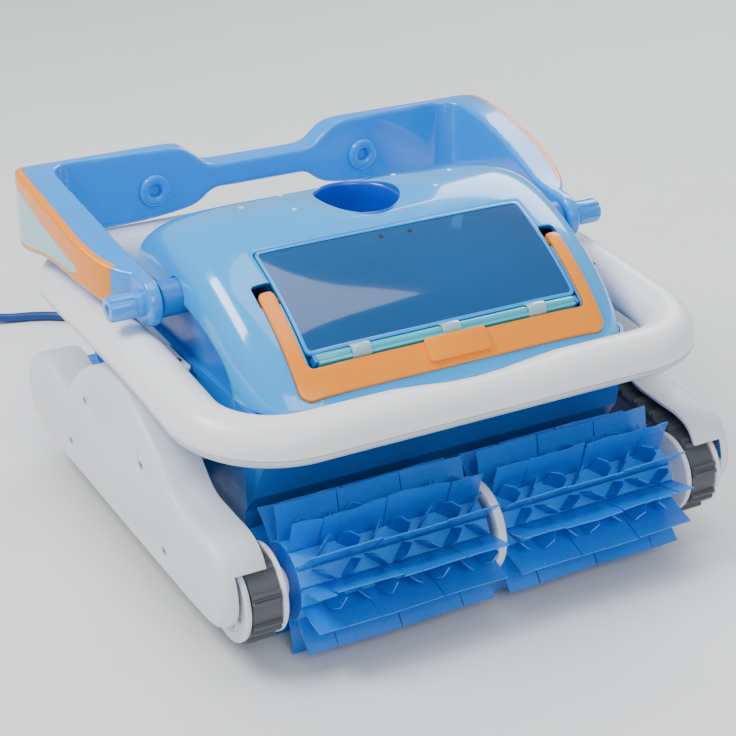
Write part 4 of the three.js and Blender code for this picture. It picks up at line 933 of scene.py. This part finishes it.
def hull_loop(circles, grow, steps=96):
    points = sorted({(round(u + (r + grow) * math.cos(2 * math.pi * k / steps), 6),
                      round(v + (r + grow) * math.sin(2 * math.pi * k / steps), 6))
                     for u, v, r in circles for k in range(steps)})

    def half(rows):
        chain = []
        for p in rows:
            while len(chain) > 1 and ((chain[-1][0] - chain[-2][0]) * (p[1] - chain[-2][1])
                                      - (chain[-1][1] - chain[-2][1]) * (p[0] - chain[-2][0])) <= 1e-6:
                chain.pop()
            chain.append(p)
        return chain[:-1]

    return half(points) + half(points[::-1])


def walk(loop):
    """Returns total length and a function from distance to (point, outward normal)."""
    legs = [(p, q, math.dist(p, q)) for p, q in zip(loop, loop[1:] + loop[:1])]
    total = sum(length for _, _, length in legs)

    def at(distance):
        left = distance % total
        for p, q, length in legs:
            if left <= length:
                break
            left -= length
        du, dv = (q[0] - p[0]) / length, (q[1] - p[1]) / length
        return (p[0] + du * left, p[1] + dv * left), (dv, -du)

    return total, at


def track_belt():
    total, at = walk(hull_loop([(-AXLE_Y, AXLE_Z, DRUM_R), (AXLE_Y, AXLE_Z, DRUM_R),
                                (0, SPROCKET_Z, SPROCKET_R)], 0.3))
    ribs = round(total / 21)
    pitch = total / ribs
    ridge = [(-4.6, 0), (-4.2, 2.2), (-3.6, 3.4), (-1.9, 3.5), (-1.2, 2.6), (-0.8, 1.5), (0.8, 1.5), (1.2, 2.6),
             (1.9, 3.5), (3.6, 3.4), (4.2, 2.2), (4.6, 0)]
    stops = []
    for k in range(ribs):
        middle = (k + 0.5) * pitch
        stops += [(middle + d * 0.92, h) for d, h in ridge]
        stops += [(middle + 4.6 + (pitch - 9.2) * j / 4, 0) for j in (1, 2, 3)]
    points = []
    # across the belt: edges rounded by two steps
    lanes = [(185, 0.8), (185.6, 0), (207.4, 0), (208, 0.8)]
    for distance, lift in stops:
        (u, v), (nu, nv) = at(distance)
        for x, drop in lanes:
            high = 4 + lift - drop
            points.append((x, u + nu * high, v + nv * high))
        for x in (208, 185):
            points.append((x, u, v))
    size = 6
    count = len(stops)
    faces = []
    for i in range(count):
        n = (i + 1) % count
        for j in range(size):
            k = (j + 1) % size
            faces.append((i * size + j, i * size + k, n * size + k, n * size + j))
    return mesh_piece("belt", points, faces, "belt")


belt = track_belt()
ship(mirror_copy(belt, "track_belt_left_visual"), "chassis", ["track_belt_left"], 25)
belt.name = "track_belt_right_visual"
ship(belt, "chassis", ["track_belt_right"], 25)

# ---------------------------------------------------------------- brushes


def fin(x0, x1, wave, lean, phase):
    """One soft blade between two slits, 1.4 mm thick, waving a little towards its tip."""
    columns = max(4, round((x1 - x0) / 6))
    rows = 7
    points = []
    for a in range(columns + 1):
        x = x0 + (x1 - x0) * a / columns
        for b in range(rows + 1):
            share = b / rows
            r = 28.5 + (58.1 - 28.5) * share
            bend = share * share * (lean + wave * math.sin(x * 0.06 + phase)
                                    + 0.35 * wave * math.sin(x * 0.23 + phase))
            half = 0.85 - 0.3 * share
            trim = 0.5 * math.sin(x * 0.05 + phase * 2) * share
            points += [(x, bend - half, r - trim - 0.3), (x, bend + half, r - trim - 0.3)]
    stride = (rows + 1) * 2
    faces = []
    for a in range(columns):
        for b in range(rows):
            for k in (0, 1):
                p = a * stride + b * 2 + k
                faces.append((p, p + 2, p + 2 + stride, p + stride))
        for b in (0, rows):
            p = a * stride + b * 2
            faces.append((p, p + 1, p + 1 + stride, p + stride))
    for a in (0, columns):
        for b in range(rows):
            p = a * stride + b * 2
            faces.append((p, p + 1, p + 3, p + 2))
    return mesh_piece("fin", points, faces, "brush")


def tab_blade(x, turn, high, wide, tip):
    """A small five-cornered blade that stands on the sleeve at an angle to the fins."""
    outline = [(-wide / 2, 0), (wide / 2, 0), (wide / 2 - 0.6, high - tip), (0.14 * wide, high),
               (-wide / 2 + 0.8, high - 0.4 * tip)]
    # the tabs take a darker copy of the brush colour: painted shade on their faces
    blade = prism("tab", outline, -0.7, 0.7, "y", "brush_tab_painted_shade")
    blade.data.transform(Matrix.Translation((x * MM, 0, 29.2 * MM)) @ Matrix.Rotation(turn, 4, "Z"))
    return soften(blade, 0.35, 1, 30)


def brush(side, sign, name):
    dice = random.Random(f"{side}{sign}")
    parts = []
    # sleeve: one flat strip between each pair of fins
    sleeve = []
    for k in range(24):
        a = math.pi * (k + 0.5) / 12
        sleeve.append((29.6 * math.cos(a), 29.6 * math.sin(a)))
    core = prism("sleeve", sleeve, 6, 168, "x", "brush_core")
    boolean(core, [rod("bore", AXLE_BORE_R, 0, 175, "x", (0, 0, 0), "brush_core", 40)])
    parts.append(soften(core, 0.5, 2, 10))
    for i in range(12):
        angle = math.radians(30 * i + 15)
        turned = Matrix.Rotation(angle, 4, "X")
        shift = (8, 26, 17, 35)[i % 4]
        edges = [6.2] + [e for e in (shift + 27 * j for j in range(1, 8)) if 20 < e < 154] + [167.8]
        edges = edges[:1] + edges[1:-1:2] + edges[-1:]
        wave = dice.uniform(0.1, 0.5) if i % 5 else 1.7
        lean = dice.uniform(-0.9, 0.9)
        phase = dice.uniform(0, 6)
        for x0, x1 in zip(edges, edges[1:]):
            piece = fin(x0 + 0.55, x1 - 0.55, wave, lean + dice.uniform(-1.3, 1.3), phase)
            piece.data.transform(turned)
            parts.append(piece)
        between = Matrix.Rotation(angle + math.radians(15), 4, "X")
        places = [16 + 21.5 * j + (5 if i % 2 else 0) for j in range(7)]
        for j, x in enumerate(places):
            if x > 160:
                continue
            turn = math.radians((42 if (i + j) % 2 else -42) + dice.uniform(-7, 7))
            tab = tab_blade(x, turn, dice.uniform(18.5, 21.5), dice.uniform(14.5, 16.5), 5.5)
            tab.data.transform(between)
            parts.append(tab)
        strip = box_piece("strip", 6.3, 167.7, -6.3, 6.3, 28.4, 29.9, "brush_strip")
        strip.data.transform(between)
        parts.append(soften(strip, 0.4, 1))
        if i == 10:
            for j in range(6):
                x = 27 + 21.5 * j
                stud = lathe("stud", [(0, 29.5), (3.6, 29.5), (3.6, 32.2), (2.8, 33.2), (0, 33.4)], "z",
                             (x, 0, 0),
                             "brush", 24)
                frame_rib = box_piece("frame", x + 6, x + 9.5, -5, 5, 29.5, 32, "brush")
                for one in (stud, soften(frame_rib, 0.4, 1)):
                    one.data.transform(between)
                    parts.append(one)
    return to_side(join_meshes(name, parts), side, sign * AXLE_Y, AXLE_Z)


for end, sign in ENDS:
    for name, side in SIDES:
        ship(brush(side, sign, f"{end}_brush_{name}_visual"), f"roller_{end}_{name}",
             [f"{end}_brush_{name}"], 30)
# ---------------------------------------------------------------- handle



def handle_plan(name, skin, spare, material="handle"):
    """The band seen from above; skin moves its outer edge inwards, spare its inner edge."""
    outer = smooth_line([(199.5 - skin, 19), (207 - skin, 28), (216 - skin, 44), (223.5 - skin, 72),
                         (226.8 - skin, 104),
                         (228.6 - skin, 140), (228.8 - skin, 170), (228.2 - skin, 192)], 6)
    outer += smooth_line([(228.2 - skin, 192), (225 - skin, 207 - 0.5 * skin), (216 - skin, 218.5 - skin),
                          (203 - skin, 223.6 - skin), (186, 224.4 - skin), (150, 224.4 - skin),
                          (-1, 224.4 - skin)], 6)[1:]
    inner = [(-1, 201 - spare), *arc(176 - spare, 179 - spare, 22, 90, 0, 10), (198 - spare, 150),
             (196 - spare, 120), (192 - spare, 78), (187 - spare, 40), (187 - spare, -22)]
    loop = [(198, -22), *outer, *inner]
    right = prism(name, loop, 150, 330, "z", material)
    left = prism(name, [(-x, y) for x, y in loop], 150, 330, "z", material)
    return boolean(right, [left], "UNION")


HANDLE_SIDE = [*arc(*EYE, 19.4, 98, 262, 24),
               *smooth_line([(3, 198.7), (16, 199.4), (34, 204.2), (70, 211.6), (118, 214), (155, 209),
                             (181, 202.6),
                             (205, 200.2), (218, 203.5), (226, 212)], 5),
               *smooth_line([(228, 220), (228.4, 236), (227, 252), (219, 262.5), (204, 266.9), (190, 267.6),
                             (168, 265.9),
                             (141, 262.4), (106, 255.6), (73, 247.4), (48, 241.4), (26, 238.4), (12, 237.6)],
                             5)]


def handle_front(name):
    low = smooth_line([(0, 220.2), (30, 220.2), (46, 219.4), (62, 209), (80, 204.6), (120, 201), (180, 199.6),
                       (240, 199)], 6)
    top = smooth_line([(240, 269.5), (200, 267.8), (150, 266.2), (112, 265.2), (80, 263.2), (66, 256),
                       (52, 245),
                       (38, 242.8), (0, 242.8)], 6)
    half = low + top
    loop = half + [(-x, z) for x, z in half[-2:0:-1]]
    return prism(name, loop, -60, 300, "y", "handle")


def rounded_solid(piece, voxel, rounds):
    """Rounds every edge of a solid evenly, by remeshing it and relaxing the mesh."""
    step = piece.modifiers.new("remesh", "REMESH")
    step.mode = "VOXEL"
    step.voxel_size = voxel * MM
    step.use_smooth_shade = True
    relax = piece.modifiers.new("relax", "SMOOTH")
    relax.factor = 0.5
    relax.iterations = rounds
    apply_modifiers(piece)
    return piece


whole = handle_plan("handle", 0, 0)
boolean(whole, [prism("side", HANDLE_SIDE, -300, 300, "x", "handle"), handle_front("front")], "INTERSECT")
rounded_solid(whole, 1.3, 30)


def copy_of(piece, name):
    copy = piece.copy()
    copy.data = piece.data.copy()
    copy.name = name
    bpy.context.scene.collection.objects.link(copy)
    return copy


def paint(piece, material):
    piece.data.materials.clear()
    piece.data.materials.append(MATERIALS[material])
    return piece


def zone(clear, side):
    across = sorted((side * (190 + clear), side * 300))
    back = sorted((side * (74 + clear), side * 200))
    band = box_piece("zone", *across, 34 + clear, 300, 160, 300)
    return boolean(band, [box_piece("zone_back", *back, 150, 300, 256 + clear, 300)], "UNION")


WINDOW_LOOP = smooth_loop([(74, 222), (84, 219.4), (118, 219.2), (150, 214.4), (182, 207.6), (204, 205.6),
                           (216, 210),
                           (221.5, 226), (220, 245), (209, 255), (186, 252.6), (150, 245.6), (112, 236.6),
                           (88, 230.6),
                           (76, 227)], 5)


def window_cutter(name, gap, side):
    reach = sorted((side * (190 + gap), side * 300))
    loop = inset(WINDOW_LOOP, gap) if gap else WINDOW_LOOP
    return prism(name, loop, *reach, "x", "handle_window")


for name, side in SIDES:
    trim = copy_of(whole, "trim")
    boolean(trim, [zone(0.3, side)], "INTERSECT")
    boolean(trim, [handle_plan("core", 6, 6), window_cutter("hole", 0, side)])
    soften(paint(trim, "orange"), 0.45, 1, 55)
    trim.name = f"handle_trim_{name}_visual"
    ship(trim, "handle", [f"handle_trim_{name}"], 45)
    pane = copy_of(whole, "window")
    boolean(pane, [window_cutter("shape", 0.3, side)], "INTERSECT")
    boolean(pane, [handle_plan("core", 4, 6)])
    paint(pane, "handle_window")
    pane.name = f"handle_window_{name}_visual"
    ship(pane, "handle", [f"handle_window_{name}"], 45)

frame_piece = copy_of(whole, "handle_frame_visual")
taken = boolean(zone(0, 1), [zone(0, -1)], "UNION")
boolean(taken, [handle_plan("core", 6.3, 6)])
boolean(frame_piece, [taken])
pocket_cuts = []
for name, side in SIDES:
    reach = sorted((side * 66, side * 186))
    pocket_cuts.append(prism("pocket", rounded(*reach, 211, 252, 5), 205, 300, "y", "handle"))
    bosses = [lathe("boss", [(5.5, 203), (11.6, 203), (13.4, 201.4), (14.3, 199.6), (14.3, 198.2),
                             (13.6, 196.9),
                             (12.2, 196.3), (9, 196.3), (7.2, 196.6), (6, 197.6), (5.5, 199)],
                    "y", (side * 103, 0, 229), "handle", 48, closed=True)]
    pocket_cuts.append(rod("boss_hole", 5.5, 190, 204, "y", (side * 103, 0, 229), "handle", 40))
    pocket_cuts.append(rod("eye_hole", 6.35, *sorted((side * 180, side * 205)), "x", (0, *EYE), "handle", 48))
    boolean(frame_piece, bosses, "UNION")
boolean(frame_piece, pocket_cuts)
soften(frame_piece, 0.5, 1, 60)
ship(frame_piece, "handle", ["handle_frame"], 45)

for name, side in SIDES:
    reach = sorted((side * 66.3, side * 185.7))
    float_piece = copy_of(whole, "float")
    boolean(float_piece, [prism("inside", rounded(*reach, 211.3, 251.7, 4.7), 205.3, 300, "y", "foam")],
            "INTERSECT")
    soften(paint(float_piece, "foam"), 1.2, 2, 50)
    float_piece.name = f"handle_float_{name}_visual"
    ship(float_piece, "handle", [f"handle_float_{name}"], 40)
bpy.data.objects.remove(whole)

# ---------------------------------------------------------------- knobs

for name, side in SIDES:
    grip = lathe("grip", [(0, 167), (6, 167), (6, 198.3), (10.4, 198.3), (10.5, 198.8), (10.5, 202.4),
                          (9.9, 203.1),
                          (9.9, 204.2), (10.5, 205), (10.5, 224.2), (10, 225.4), (9, 226), (4.6, 226),
                          (4.3, 225.6),
                          (4.1, 221), (0, 221)], "x", (0, 0, 0), "handle", 60)
    flutes = [rod("flute", 2.0, 206, 230, "x", (0, 11.1 * math.cos(a), 11.1 * math.sin(a)), "handle", 20)
              for a in (math.pi * k / 4 for k in range(8))]
    boolean(grip, flutes)
    soften(grip, 0.4, 2, 50)
    to_side(grip, side, *EYE)
    # a thin disc of the dark shadow material at the floor of the knob's end hole: painted shade in the hole
    bore_shade = rod("bore", 3.9, *sorted((side * 220.8, side * 221.2)), "x", (0, *EYE), "dark", 24)
    grip = join_meshes(f"knob_{name}_visual", [grip, bore_shade])
    ship(grip, f"knob_{name}", [f"knob_{name}"], 35)


# a smooth sleeve on each pivot boss of the hull
for name, side in SIDES:
    sleeve = lathe("sleeve", [(14.02, 166), (14.5, 166), (14.5, 184.2), (13.7, 185.1), (6.5, 185.1),
                              (6.5, 185.02),
                              (14.02, 185.02)], "x", (0, 0, 0), "hull", 64, closed=True)
    to_side(sleeve, side, *EYE)
    sleeve.name = f"pivot_sleeve_{name}"
    ship(sleeve, "chassis", [], 35)


# ---------------------------------------------------------------- CAD nodes that stay

CAD_FINISH = {"lower_hull": "hull", "base_plate": "hull", "filter_basket": "hull", "filter_mesh": "mesh",
              "inlet_flap_front": "belt", "inlet_flap_rear": "belt", "pump_motor": "motor",
              "control_box": "motor",
              "drive_motor_right": "motor", "drive_motor_left": "motor", "front_axle": "steel",
              "rear_axle": "steel"}
for node, material in CAD_FINISH.items():
    nodes[node].data.materials.clear()
    nodes[node].data.materials.append(MATERIALS[material])

# ---------------------------------------------------------------- studio

floor = box_piece("floor", -6000, 6000, -6000, 6000, -20, -0.05, "floor")


def area_light(name, place, target, size, power, colour=(1, 1, 1)):
    data = bpy.data.lights.new(name, "AREA")
    data.shape = "RECTANGLE"
    data.size, data.size_y = size
    data.energy = power
    data.color = colour
    light = bpy.data.objects.new(name, data)
    bpy.context.scene.collection.objects.link(light)
    light.location = place
    aim = Vector(target) - Vector(place)
    light.rotation_euler = aim.to_track_quat("-Z", "Y").to_euler()


area_light("key", (-1.3, 0.35, 1.9), (0, 0, 0.12), (0.9, 0.7), 44)
area_light("front", (-0.4, -2.0, 1.5), (0, 0, 0.12), (1.6, 0.9), 20, (0.97, 0.98, 1))
area_light("rim", (1.7, 1.2, 1.5), (0, 0, 0.15), (1.2, 1.0), 26, (0.95, 0.98, 1))
area_light("top", (0.2, 0.1, 2.4), (0, 0, 0.2), (1.4, 1.4), 18)
world = bpy.data.worlds.new("studio")
world.use_nodes = True
world.node_tree.nodes["Background"].inputs["Color"].default_value = (0.86, 0.92, 1.0, 1)
world.node_tree.nodes["Background"].inputs["Strength"].default_value = 0.62
bpy.context.scene.world = world
